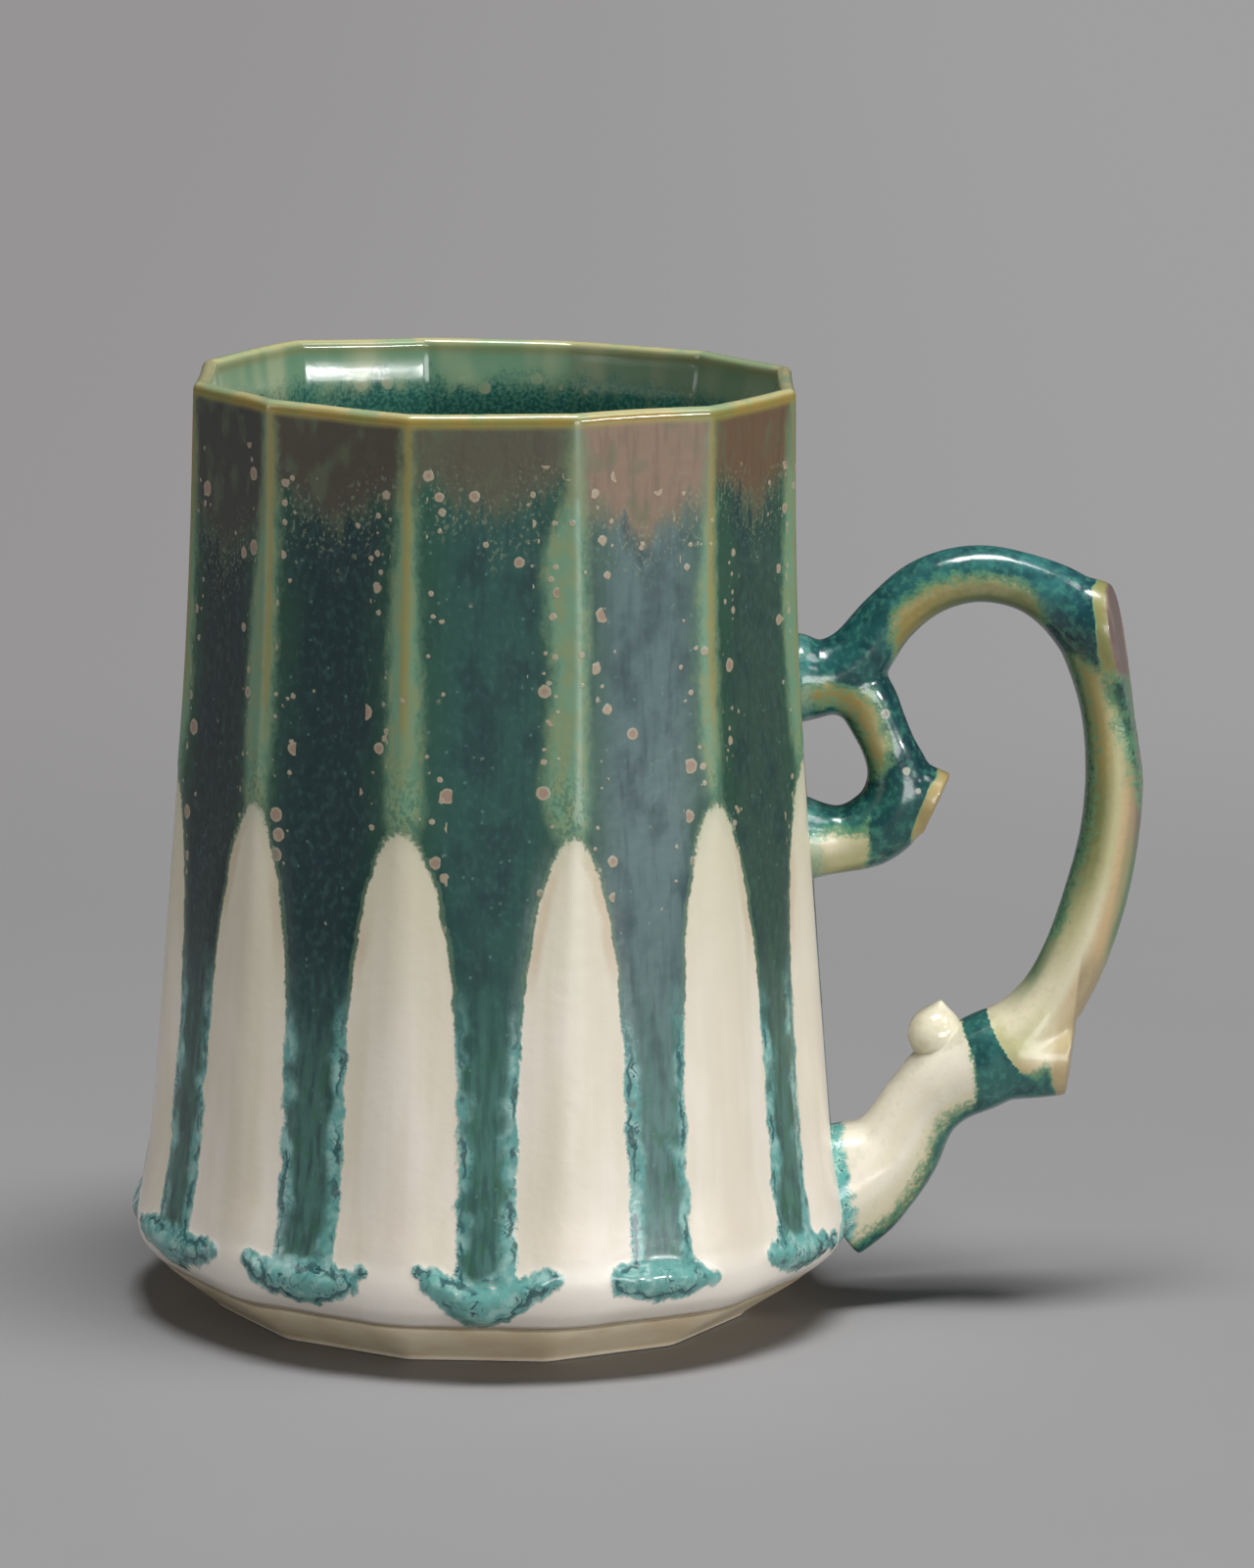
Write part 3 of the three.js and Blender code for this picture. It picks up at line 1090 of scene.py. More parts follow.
class WallGlaze(GlazeBench):
    """Running crystalline glaze of the wall, over cream.

    Attributes:
        deep: darkest blotches of the teal.
        leaf: green beside the ridges.
        speck: smallest crystals.
        crystal: rim of the larger crystals.
        heart: middle of the larger crystals.
        sage: bands along the ridges.
        olive: their thinner parts.
        ochre: their middle line, and the line under the lip.
        cream: the bare petals.
        ivory: their lighter parts.
        tan: the halo round their tips.
        turquoise: fringes and pools.
        pale: lightest parts of the pools.
        ink: hairlines in them.
    """

    deep: Colour = shade(20, 44, 50)
    leaf: Colour = shade(38, 78, 58)
    speck: Colour = shade(112, 150, 138)
    crystal: Colour = shade(164, 150, 128)
    heart: Colour = shade(142, 114, 100)
    sage: Colour = shade(104, 140, 112)
    olive: Colour = shade(122, 136, 98)
    ochre: Colour = shade(142, 124, 62)
    cream: Colour = shade(212, 203, 184)
    ivory: Colour = shade(222, 213, 200)
    tan: Colour = shade(178, 152, 118)
    turquoise: Colour = shade(98, 152, 146)
    pale: Colour = shade(136, 176, 168)
    ink: Colour = shade(16, 48, 60)

    def teal(self) -> Socket:
        """Mottles the thick glaze between the ridges.

        Returns:
            The colour.
        """
        cloud = self.noise(5.0, 3.0, 0.6, 3)
        grain = self.noise(0.9, 3.0, 0.7, 11)
        rain = self.noise(1.0, 2.0, 0.12, 23)
        fleck = self.noise(1.3, 3.0, 0.5, 17)
        away = self.plus(self.field("across"), self.swing(cloud, 6.0))
        run = self.step(self.axis("Z"), 62, 32)
        streaks = self.number((rain, 0.38, 0.62), 0.46, 0.2)
        gap, luck, _ = self.grains(1.25, 5)
        return self.coats(
            self.colour_field("thick"),
            (self.deep, (cloud, 0.46, 0.66), 0.5),
            (shade(70, 112, 106), (grain, 0.46, 0.78), 0.3),
            (self.deep, (rain, 0.46, 0.74), 0.34),
            (self.leaf, (away, 7.5, 2.0), 0.6),
            (shade(92, 140, 128), run, streaks),
            (shade(44, 96, 62), run, (fleck, 0.5, 0.66), 0.42),
            (self.speck, (gap, 0.3, 0.12), (luck, 0.82, 0.84), 0.35))

    def thin_top(self, colour: Socket) -> tuple[Socket, Socket]:
        """Lays the thin brown top over a colour.

        Args:
            colour: the colour below.

        Returns:
            The colour and how much the top covers.
        """
        streak = self.noise(1.1, 2.0, 0.14, 31)
        cloud = self.noise(3.2, 3.0, 0.6, 37)
        speck = self.noise(0.5, 2.0, 0.8, 41)
        level = self.field("brown")
        brown = self.coats(
            self.colour_field("thin"),
            (shade(62, 58, 48), (streak, 0.46, 0.7), 0.28),
            (shade(84, 98, 72), (cloud, 0.5, 0.68), 0.5),
            (shade(66, 92, 72), (level, 4.0, -3.0), 0.7))
        cover = self.step(self.plus(level, self.swing(streak, 12.0),
                                    self.swing(speck, 6.0)), -2.6, 2.2)
        near = self.line(self.plus(level, self.swing(cloud, 10.0)), -1.0, 7.0)
        return self.coats(
            colour, (brown, cover),
            (shade(118, 130, 106), (speck, 0.56, 0.68), near, 0.55)), cover

    def ridges(self, colour: Socket, top: Socket) -> Socket:
        """Lays the sage bands along the ridges over a colour.

        Args:
            colour: the colour below.
            top: how much the thin top covers.

        Returns:
            The colour.
        """
        soft = self.noise(1.7, 3.0, 0.45, 47)
        fine = self.noise(0.55, 2.0, 0.7, 53)
        edge = self.plus(self.field("band"), self.swing(soft, 2.4), self.swing(fine, 1.2))
        spine = self.plus(self.field("spine"), self.swing(soft, 0.6))
        height = self.axis("Z")
        sage = self.coats(
            self.sage,
            (self.olive, (soft, 0.42, 0.64), 0.8),
            (shade(72, 108, 86), (edge, 1.5, -0.2), 0.45),
            (shade(104, 108, 74), top, 0.5),
            (self.ochre, (spine, 0.9, 0.3), (height, 82, 94), 0.6),
            (shade(62, 104, 84), (height, 88, 77), (fine, 0.46, 0.6), 0.7))
        return self.coats(colour, (sage, (edge, -1.1, 1.1)))

    def crystals(self, colour: Socket) -> tuple[Socket, Socket]:
        """Scatters crystals over a colour, mostly beside the ridges.

        Args:
            colour: the colour below.

        Returns:
            The colour and how much the crystals cover.
        """
        height, beside = self.axis("Z"), self.field("across")
        wobble = self.swing(self.noise(0.5, 2.0, start=59), 0.34)
        crowd = self.times((beside, 1.6, 2.8), (beside, 7.0, 4.6))
        zone = self.times((height, 50, 70), (height, 126, 119))
        under_top = self.times(self.line(self.field("brown"), -3.0, 9.0), 0.14)
        share = self.times(zone, self.plus(0.03, self.times(crowd, 0.75), under_top))
        cover: Input = 0.0
        for spacing, least, spread, start in ((3.1, 0.4, 0.8, 61), (1.9, 0.18, 0.3, 67)):
            gap, luck, size = self.grains(spacing, start)
            radius = self.plus(least, self.times(size, spread))
            depth = self.less(self.plus(gap, wobble), radius)
            chosen = self.math("LESS_THAN", luck, share)
            body = self.times((depth, -0.05, 0.12), chosen)
            colour = self.coats(colour, (self.crystal, body, 0.85),
                                (self.heart, (depth, 0.28, 0.42), chosen, 0.7))
            cover = self.most(cover, body)
        return colour, cover

    def petals(self, colour: Socket, depth: Socket) -> tuple[Socket, Socket]:
        """Lays the bare cream over a colour, with painted shade and painted light in the cream.

        Args:
            colour: the colour below.
            depth: how deep a point lies inside the thick glaze.

        Returns:
            The colour and how much is bare.
        """
        height = self.axis("Z")
        cloud = self.noise(9.0, 2.0, 0.3, 71)
        streak = self.noise(2.4, 1.0, 0.05, 73)
        seam = self.step(self.plus(height, self.swing(cloud, 0.8)), 7.9, 7.1)
        tips = self.step(height, 66, 75)
        cream = self.coats(
            self.cream,
            (self.ivory, (cloud, 0.35, 0.65)),
            (shade(200, 192, 166), (streak, 0.45, 0.7), 0.25),
            # painted shade: the cream is painted darker higher up the petals
            (shade(192, 187, 160), (height, 34, 72), 0.6),
            # painted shade: greyer cream beside the ridges low on the petals, where the ridges
            # shade them
            (shade(196, 182, 168), (height, 30, 18), (height, 9, 15),
             (self.field("across"), 5, 0.5), 0.35),
            # whiter cream low on the shoulder: partly its own colour, partly painted light where
            # the light from above falls on it
            (shade(228, 222, 212), (height, 19, 12), 0.7),
            (self.tan, self.line(depth, -0.35, 1.8), (height, 50, 60),
             (height, 75, 70), (cloud, 0.4, 0.62), 0.45),
            (shade(168, 176, 146), (height, 68, 76), (depth, -3.0, 0.2), 0.6),
            (shade(128, 114, 88), seam, 0.5))
        soft = self.number(tips, self.number((height, 56, 44), 0.8, 0.5), 0.35)
        bare = self.step(self.times(depth, soft), 0.16, -0.14)
        return self.coats(
            colour,
            (shade(98, 124, 98), self.line(depth, 0.3, 0.6), (height, 45, 55), 0.5),
            (cream, bare, self.less(self.field("inside")))), bare

    def runs(self, colour: Socket, depth: Socket) -> tuple[Socket, Socket]:
        """Turns the edges of the runs and the pools turquoise, with dark hairlines.

        Args:
            colour: the colour below.
            depth: how deep a point lies inside the thick glaze.

        Returns:
            The colour and how much of it is turquoise.
        """
        height = self.axis("Z")
        swirl = self.noise(2.0, 1.6, start=79, twist=1.4)
        cloud = self.noise(2.2, 2.0, start=83)
        patch = self.noise(3.4, 1.0, start=89)
        reach = self.plus(depth, self.swing(self.noise(5.0, 1.0, start=151), -6.0))
        fringe = self.times((height, 56, 42), (reach, 2.7, 0.7))
        pool = self.step(self.plus(self.field("pool"), self.swing(cloud, 2.2)), -0.6, 0.6)
        core = self.times((depth, 1.8, 4.6), (height, 11.0, 21.0))
        wet = self.times(self.most(self.times(fringe, (cloud, 0.26, 0.4)), pool),
                         self.less(self.times(core, 0.85)))
        water = self.coats(
            self.turquoise, (self.pale, (cloud, 0.44, 0.64)),
            (shade(58, 112, 110), (swirl, 0.54, 0.72), 0.55))
        edge = self.line(self.plus(depth, self.swing(cloud, 1.8)), 0.85, 0.42)
        hair = self.most(
            self.times(self.line(swirl, 0.47, 0.032), (patch, 0.52, 0.62)),
            self.times(edge, (patch, 0.4, 0.52), 0.8))
        return self.coats(colour, (water, wet), (self.ink, hair, wet, 0.9)), wet

    def inside(self, colour: Socket) -> Socket:
        """Lays the glaze of the inside over a colour, sage under the lip and teal below, with
        painted shade on the right.

        Args:
            colour: the colour below.

        Returns:
            The colour.
        """
        cloud = self.noise(3.4, 3.0, 0.7, 97)
        fine = self.noise(0.55, 3.0, start=101)
        streak = self.noise(6.0, 1.0, 0.1, 103)
        level = self.plus(self.axis("Z"), self.swing(cloud, 9.0), self.swing(fine, 3.0))
        gap, luck, size = self.grains(3.6, 149)
        blotch = self.less(self.plus(gap, self.swing(fine, 0.8)),
                           self.plus(0.5, self.times(size, 0.9)))
        sage = self.coats(
            shade(102, 138, 110), (shade(146, 160, 128), (streak, 0.4, 0.62)),
            # painted shade: the sage is painted darker towards the right, on the side of the
            # inside that lies in shade
            (shade(84, 98, 76), (self.axis("X"), -4, 26), 0.75))
        deep = self.coats(
            shade(40, 90, 82), (shade(72, 124, 106), (fine, 0.4, 0.66)),
            (shade(150, 154, 124), (blotch, 0.0, 0.25), (luck, 0.45, 0.46),
             0.8))
        wall = self.coats(sage, (deep, (level, 126.5, 122.0)))
        return self.coats(colour, (wall, self.field("inside")))

    def lip(self, colour: Socket) -> Socket:
        """Lays the ochre line and the pale lip over a colour.

        Args:
            colour: the colour below.

        Returns:
            The colour.
        """
        cloud = self.noise(7.0, 2.0, start=107)
        height = self.plus(self.field("level"), self.swing(cloud, 0.5))
        ochre = self.coats(self.ochre, (shade(128, 124, 66), (cloud, 0.42, 0.6)))
        pale = self.coats(shade(172, 168, 124),
                          (shade(140, 158, 122), (cloud, 0.45, 0.6)))
        outside = self.less(self.times(self.field("inside"), 0.6))
        return self.coats(colour, (ochre, (height, 127.7, 128.7), outside, 0.92),
                          (pale, (height, 129.2, 129.8), 0.9))

    def mix(self) -> bpy.types.Material:
        """Lays all the layers over one another.

        Returns:
            The glaze.
        """
        ragged = self.noise(2.4, 3.0, 0.6, 109)
        fine = self.noise(0.6, 2.0, start=113)
        inside, level = self.field("inside"), self.field("level")
        low = self.step(self.axis("Z"), 60, 35)
        tips = self.step(self.axis("Z"), 66, 75)
        depth = self.plus(self.field("glaze"),
                          self.times(self.swing(ragged, 1.0), self.number(low, 1.5, 2.6)),
                          self.times(self.swing(fine, 1.0), self.number(tips, 0.6, 1.8)))
        colour, top = self.thin_top(self.teal())
        colour, grown = self.crystals(self.ridges(colour, top))
        colour, wet = self.runs(colour, depth)
        colour, bare = self.petals(colour, depth)
        colour = self.lip(self.inside(colour))
        glazed = self.less(bare)
        shiny = self.most(self.times(wet, glazed), (level, 128.4, 129.0))
        rough = self.number(top, self.number(bare, 0.3, 0.33), 0.4)
        rough = self.number(self.most(shiny, inside), rough, 0.12)
        relief = self.plus(
            self.times(self.noise(1.8, 2.0, start=127), self.number(inside, 0.5, 0.12)),
            self.times(grown, glazed, 0.35), self.times(glazed, 0.4),
            self.times(self.noise(6.5, 1.0, start=131), 0.5))
        self.set(Coat_Weight=0.16, Coat_Roughness=0.22)
        return self.finish(colour, rough, relief, 0.1)


class FootGlaze(GlazeBench):
    """Satin cream glaze of the foot, with the standing ring bare and the floor teal.

    Attributes:
        cream: the glaze outside, painted lighter than the wall's cream as painted light on the
            foot.
        warm: its warmer clouds, painted lighter in the same way.
        clay: the bare standing ring.
        pool: the floor inside.
    """

    # painted light: the foot's cream and warm are painted lighter than the wall's cream, for light
    # that the lamps don't give the foot
    cream: Colour = shade(246, 231, 200)
    warm: Colour = shade(238, 218, 183)
    clay: Colour = shade(222, 214, 200)
    pool: Colour = shade(62, 132, 122)

    def mix(self) -> bpy.types.Material:
        """Lays the layers of the foot's glaze.

        Returns:
            The glaze.
        """
        cloud = self.noise(7.0, 3.0, start=5)
        fine = self.noise(0.7, 2.0, start=9)
        height = self.axis("Z")
        seam = self.step(self.plus(height, self.swing(cloud, 0.6)), 6.3, 6.8)
        bare = self.step(self.plus(height, self.swing(fine, 0.3)), 0.45, 0.25)
        floor = self.coats(
            self.pool, (shade(110, 168, 150), (fine, 0.45, 0.62)),
            (shade(30, 84, 84), (cloud, 0.5, 0.66), 0.7))
        colour = self.coats(
            self.cream, (self.warm, (cloud, 0.4, 0.65)),
            (shade(118, 104, 80), seam, 0.7), (self.clay, bare), (floor, self.field("inside")))
        self.set(Coat_Weight=0.25, Coat_Roughness=0.08)
        return self.finish(colour, self.number(bare, 0.3, 0.75),
                           self.plus(cloud, self.times(fine, 0.3)), 0.06)


@dataclass
class GlazedFoot(TurnedShell):
    """Foot with the standing ring below and the floor of the mug above.

    Attributes:
        table: corner radius, rounding, height and lean of each ring.
    """

    table: Table = (
        (0.4, 0.4, 0.9, 0), (28.5, 28.5, 0.9, 0), (31, 31, 0.85, 0), (31.6, 31.6, 0.2, 0),
        (32.3, 32.3, 0, 0), (37.0, 4, 0, 0), (37.8, 4, 0.15, 0), (38.25, 4, 0.7, 0),
        (40.9, 5, 2.6, 0.1), (43.8, 9, 4.7, 0.3), (45.7, 13, 6.2, 0.45),
        (46.3, 14, 6.75, 0.5), (45.9, 14, 7.0, 0.5), (44, 14, 7.0, 0.5), (39.4, 39.4, 6.95, 0),
        (38.5, 38.5, 6.5, 0), (37.6, 37.6, 5.75, 0), (36.6, 36.6, 5.6, 0), (18, 18, 5.6, 0),
        (0.4, 0.4, 5.6, 0),
    )

    def rings(self) -> Array:
        """Corner radius, rounding, height and lean of each ring of the cage."""
        return np.array(self.table, float)

    def build(self) -> Piece:
        """Draws up the foot, settles it and closes both middles.

        Returns:
            The foot with the fields that its glaze reads.
        """
        piece = self.cage("foot")
        bearing = self.bearings(piece)
        place_points(piece, self.settle(piece, bearing))
        write_fields(piece, inside=ease(read_field(piece, "row"), 13, 13.5))
        for ring in (0, len(self.table) - 1):
            self.close(piece, ring)
        with editing(piece):
            face_outwards()
        smooth(piece)
        return piece

    @staticmethod
    def close(piece: Piece, ring: int) -> None:
        """Draws one ring of points together into the middle.

        Args:
            piece: the foot.
            ring: number of the ring.
        """
        rows = read_field(piece, "row")
        let_go()
        for kind in (piece.data.polygons, piece.data.edges):
            kind.foreach_set("select", np.zeros(len(kind), bool))
        piece.data.vertices.foreach_set("select", np.abs(rows - ring) < 0.01)
        with editing(piece):
            bpy.ops.mesh.merge(type="CENTER")


# Handle


class Side(Enum):
    """Which limb of the handle a point belongs to."""

    BRANCH = 0
    TWIG = 1


@dataclass
class Limb:
    """Round limb along a curved centre line in the handle's plane.

    Attributes:
        stations: x, z and half width of each station, then the half width across the plane
            where that is less.
        sides: points round the limb.
        spacing: distance from one ring to the next.
    """

    stations: Table
    sides: int = 24
    spacing: float = 1.5

    @property
    def last(self) -> int:
        """Number of the last station."""
        return len(self.stations) - 1

    def centre(self, where: float) -> Array:
        """Point of the centre line.

        Args:
            where: station number, whole or not.

        Returns:
            The point, x and z.
        """
        knots = [np.array(station[:2], float) for station in self.stations]
        here = min(int(where), self.last - 1)
        start, end = knots[here], knots[here + 1]
        before = knots[here - 1] if here > 0 else 2 * start - end
        after = knots[here + 2] if here + 2 <= self.last else 2 * end - start
        first, gap, second = (math.sqrt(math.dist(*pair)) for pair in
                              ((before, start), (start, end), (end, after)))
        leave = ((start - before) / first - (end - before) / (first + gap)
                 + (end - start) / gap) * gap
        arrive = ((end - start) / gap - (after - start) / (gap + second)
                  + (after - end) / second) * gap
        return hermite(where - here, start, end, leave, arrive)

    def heading(self, where: float) -> Array:
        """Direction of the centre line at a station number, x and z."""
        low, high = max(where - 0.02, 0), min(where + 0.02, self.last)
        along = self.centre(high) - self.centre(low)
        return along / np.linalg.norm(along)

    def half_widths(self, where: float) -> Array:
        """Half widths in the handle's plane and across it at a station number."""
        return curve_through([np.array((s[2], s[-1]), float) for s in self.stations], where)

    def draw(self, name: str, swell: float = 0.0) -> Piece:
        """Draws a ring along the centre line and closes both ends.

        Args:
            name: the piece's name.
            swell: how much wider it is made.

        Returns:
            The closed limb.
        """
        length = sum(math.dist(self.centre(k), self.centre(k + 1)) for k in range(self.last))
        stops = np.linspace(0, self.last, max(3, round(length / self.spacing)) + 1)
        centres = [Vector((x * MM, 0, z * MM)) for x, z in map(self.centre, stops)]
        turns = np.unwrap([math.atan2(h[1], h[0]) for h in map(self.heading, stops)])
        widths = np.array([self.half_widths(stop) for stop in stops]) + swell
        let_go()
        bpy.ops.mesh.primitive_circle_add(vertices=self.sides, radius=widths[0, 0] * MM,
                                          location=centres[0], rotation=(0, math.pi / 2, 0))
        piece = bpy.context.object
        piece.name = name
        settle_origin(piece)
        with editing(piece):
            bpy.ops.mesh.select_all(action="SELECT")
            flat = widths[0, 1] / widths[0, 0]
            bpy.ops.transform.resize(value=(1, flat, 1), center_override=centres[0])
            bpy.ops.transform.rotate(value=turns[0], orient_axis="Y", center_override=centres[0])
            for k in range(1, len(stops)):
                bpy.ops.mesh.extrude_region_move(
                    TRANSFORM_OT_translate={"value": centres[k] - centres[k - 1]})
                bpy.ops.transform.rotate(value=turns[k] - turns[k - 1], orient_axis="Y",
                                         center_override=centres[k])
                wide, deep = widths[k] / widths[k - 1]
                bpy.ops.transform.resize(value=(wide, deep, wide), center_override=centres[k])
            bpy.ops.mesh.select_all(action="SELECT")
            bpy.ops.mesh.fill_holes(sides=0)
            face_outwards()
        return piece


@dataclass(frozen=True)
class PrunedEnd:
    """Stub that was cut off.

    Attributes:
        stub: stations of the stub's own limb.
        point: a point of the cut.
        normal: direction that the cut faces.
        reach: how far the cut runs to each side of the point.
        fade: how far from the point the thin rim ends.
        face: colour of the bare cut.
        rim: colour of the thin glaze on its edge.
    """

    stub: Table
    point: Place
    normal: Place
    reach: float
    fade: float
    face: Colour
    rim: Colour


Rgb = tuple[int, int, int]


class Tone(Enum):
    """Colours that the thin glaze breaks to on the handle."""

    # partly painted shade: the dark green on the inner edge of the limbs, which faces into the
    # loop and lies in shade
    MOSS = (56, 82, 54)
    FERN = (92, 120, 88)
    OLIVE = (118, 124, 74)
    OCHRE = (150, 134, 74)
    STRAW = (180, 176, 130)
    SAGE = (112, 146, 106)
    CREAM = (212, 204, 174)
    IVORY = (222, 215, 197)
    TAN = (190, 164, 122)
    MAUVE = (122, 98, 92)


@dataclass(frozen=True)
class LimbPaint:
    """Glaze along one limb; across it, -1 is the inner edge and 1 the outer one.

    Attributes:
        teal_from: station, and where across the limb the teal starts there.
        teal_until: station, and where across the limb the teal ends there.
        inner_teal: station, and where the teal on the inner side ends there.
        thin: station, and the tones from the inner edge across to the outer edge.
        thick: station, and the teal there.
        places: where across the limb each of the five tones lies.
    """

    teal_from: Table
    teal_until: Table
    inner_teal: Table
    thin: tuple[tuple[float, tuple[Tone, Tone, Tone, Tone, Tone]], ...]
    thick: tuple[tuple[float, Rgb], ...]
    places: tuple[float, ...] = (-0.95, -0.5, 0.0, 0.5, 0.93)

    def teal(self, along: Array, across: Array) -> Array:
        """How far inside the teal each point lies, in half widths of the limb."""
        start, end, inner = (np.interp(along, *np.array(table).T) for table in
                             (self.teal_from, self.teal_until, self.inner_teal))
        return np.maximum(np.minimum(across - start, end - across), inner - across)

    def colours(self, along: Array, across: Array) -> tuple[Array, Array]:
        """Colours where the glaze is thin and where it is thick.

        Args:
            along: station number of each point.
            across: its place across the limb.

        Returns:
            The thin colour and the thick colour.
        """
        def strip(rows: Sequence[tuple[float, Colour]]) -> Array:
            """Colour of each point from the colours at the stations."""
            stops, tones = zip(*rows)
            return np.stack([np.interp(along, stops, tone) for tone in np.array(tones).T], 1)

        strips = np.array([strip([(stop, shade(*tones[k].value)) for stop, tones in self.thin])
                           for k in range(len(self.places))])
        column = np.interp(across, self.places, np.arange(len(self.places)) * 0.9999)
        low = column.astype(int)
        part = ease(column - low, 0, 1)[:, None]
        count = np.arange(len(along))
        thin = strips[low, count] * (1 - part) + strips[low + 1, count] * part
        return thin, strip([(stop, shade(*tone)) for stop, tone in self.thick])


MOSS, FERN, OLIVE, OCHRE, STRAW, SAGE, CREAM, IVORY, TAN, MAUVE = Tone

BRANCH_PAINT = LimbPaint(
    teal_from=((0, -0.05), (1.0, 0.0), (1.5, -0.6), (1.8, -1.4), (2.2, -1.4), (3.2, 0.05),
               (4, 0.1), (5, -0.05), (6, -0.05), (6.8, -0.7), (7.4, -1.4), (8.1, -1.3),
               (8.6, -0.6), (9.2, 0.0), (10.2, 0.2), (11.2, 0.7), (11.9, 1.4), (16.0, 1.4),
               (16.35, 0.4), (16.5, -1.4), (16.95, -1.4), (17.1, -0.5), (17.5, 0.5),
               (19, 0.6), (21, 0.7), (22, 0.7)),
    teal_until=((0, 2), (8.0, 2), (8.9, 0.9), (11.5, 0.8), (12, 2), (22, 2)),
    inner_teal=((0, -0.5), (1.2, -0.5), (1.7, -1.4), (7, -1.4), (8.2, -0.75), (11, -0.8),
                (13.6, -0.88), (14.2, -1.4), (22, -1.4)),
    thin=((0, (MOSS, OLIVE, OCHRE, OLIVE, OLIVE)), (2.6, (MOSS, OCHRE, OCHRE, OLIVE, SAGE)),
          (3.4, (MOSS, OCHRE, OCHRE, OLIVE, SAGE)), (5, (MOSS, OLIVE, OCHRE, SAGE, SAGE)),
          (6.2, (MOSS, OLIVE, STRAW, SAGE, SAGE)), (7.6, (MOSS, OLIVE, SAGE, SAGE, SAGE)),
          (8.6, (MOSS, OCHRE, OCHRE, OLIVE, MAUVE)), (9.6, (MOSS, OCHRE, STRAW, OLIVE, MAUVE)),
          (10.6, (MOSS, OCHRE, STRAW, OLIVE, MAUVE)), (11.5, (MOSS, OLIVE, STRAW, TAN, MAUVE)),
          (12.4, (MOSS, OLIVE, STRAW, TAN, FERN)), (13.4, (FERN, STRAW, CREAM, TAN, FERN)),
          (14.6, (FERN, CREAM, CREAM, TAN, STRAW)), (15.9, (CREAM, CREAM, STRAW, CREAM, TAN)),
          (16.3, (CREAM, STRAW, STRAW, TAN, TAN)), (17.4, (IVORY, IVORY, IVORY, CREAM, TAN)),
          (22, (IVORY, IVORY, IVORY, CREAM, TAN))),
    thick=((0, (30, 84, 82)), (3, (30, 80, 80)), (5, (42, 96, 94)), (6.5, (46, 102, 102)),
           (7.5, (22, 64, 70)), (8.5, (36, 74, 66)), (9.2, (46, 74, 62)), (12, (48, 76, 64)),
           (16, (44, 98, 94)), (17.3, (44, 96, 92)), (20, (38, 94, 82)),
           (22, (44, 108, 100))),
)

TWIG_PAINT = LimbPaint(
    teal_from=((0, 0.1), (0.8, 0.15), (1.6, 0.25), (2.4, 0.15), (3.2, -0.2), (4, -1.0),
               (4.4, -1.4), (5.2, -1.4), (6.0, -0.2), (6.6, 1.4), (9, 1.4)),
    teal_until=((0, 2), (9, 2)),
    inner_teal=((0, -0.7), (3, -0.75), (4, -0.7), (5.2, -0.3), (6.2, -0.2), (7, -0.42),
                (8, -0.36), (9, 0)),
    thin=((0, (MOSS, OCHRE, OLIVE, OLIVE, SAGE)), (1, (MOSS, OCHRE, OCHRE, SAGE, SAGE)),
          (2.6, (MOSS, OCHRE, STRAW, SAGE, SAGE)), (4, (MOSS, OLIVE, OLIVE, SAGE, SAGE)),
          (6, (SAGE, STRAW, STRAW, STRAW, OLIVE)), (7.5, (SAGE, CREAM, CREAM, STRAW, OLIVE)),
          (9, (SAGE, CREAM, STRAW, OLIVE, OLIVE))),
    thick=((0, (28, 82, 78)), (1.5, (26, 72, 74)), (3.5, (22, 62, 64)), (5, (30, 80, 76)),
           (7, (40, 98, 90)), (9, (44, 108, 100))),
)


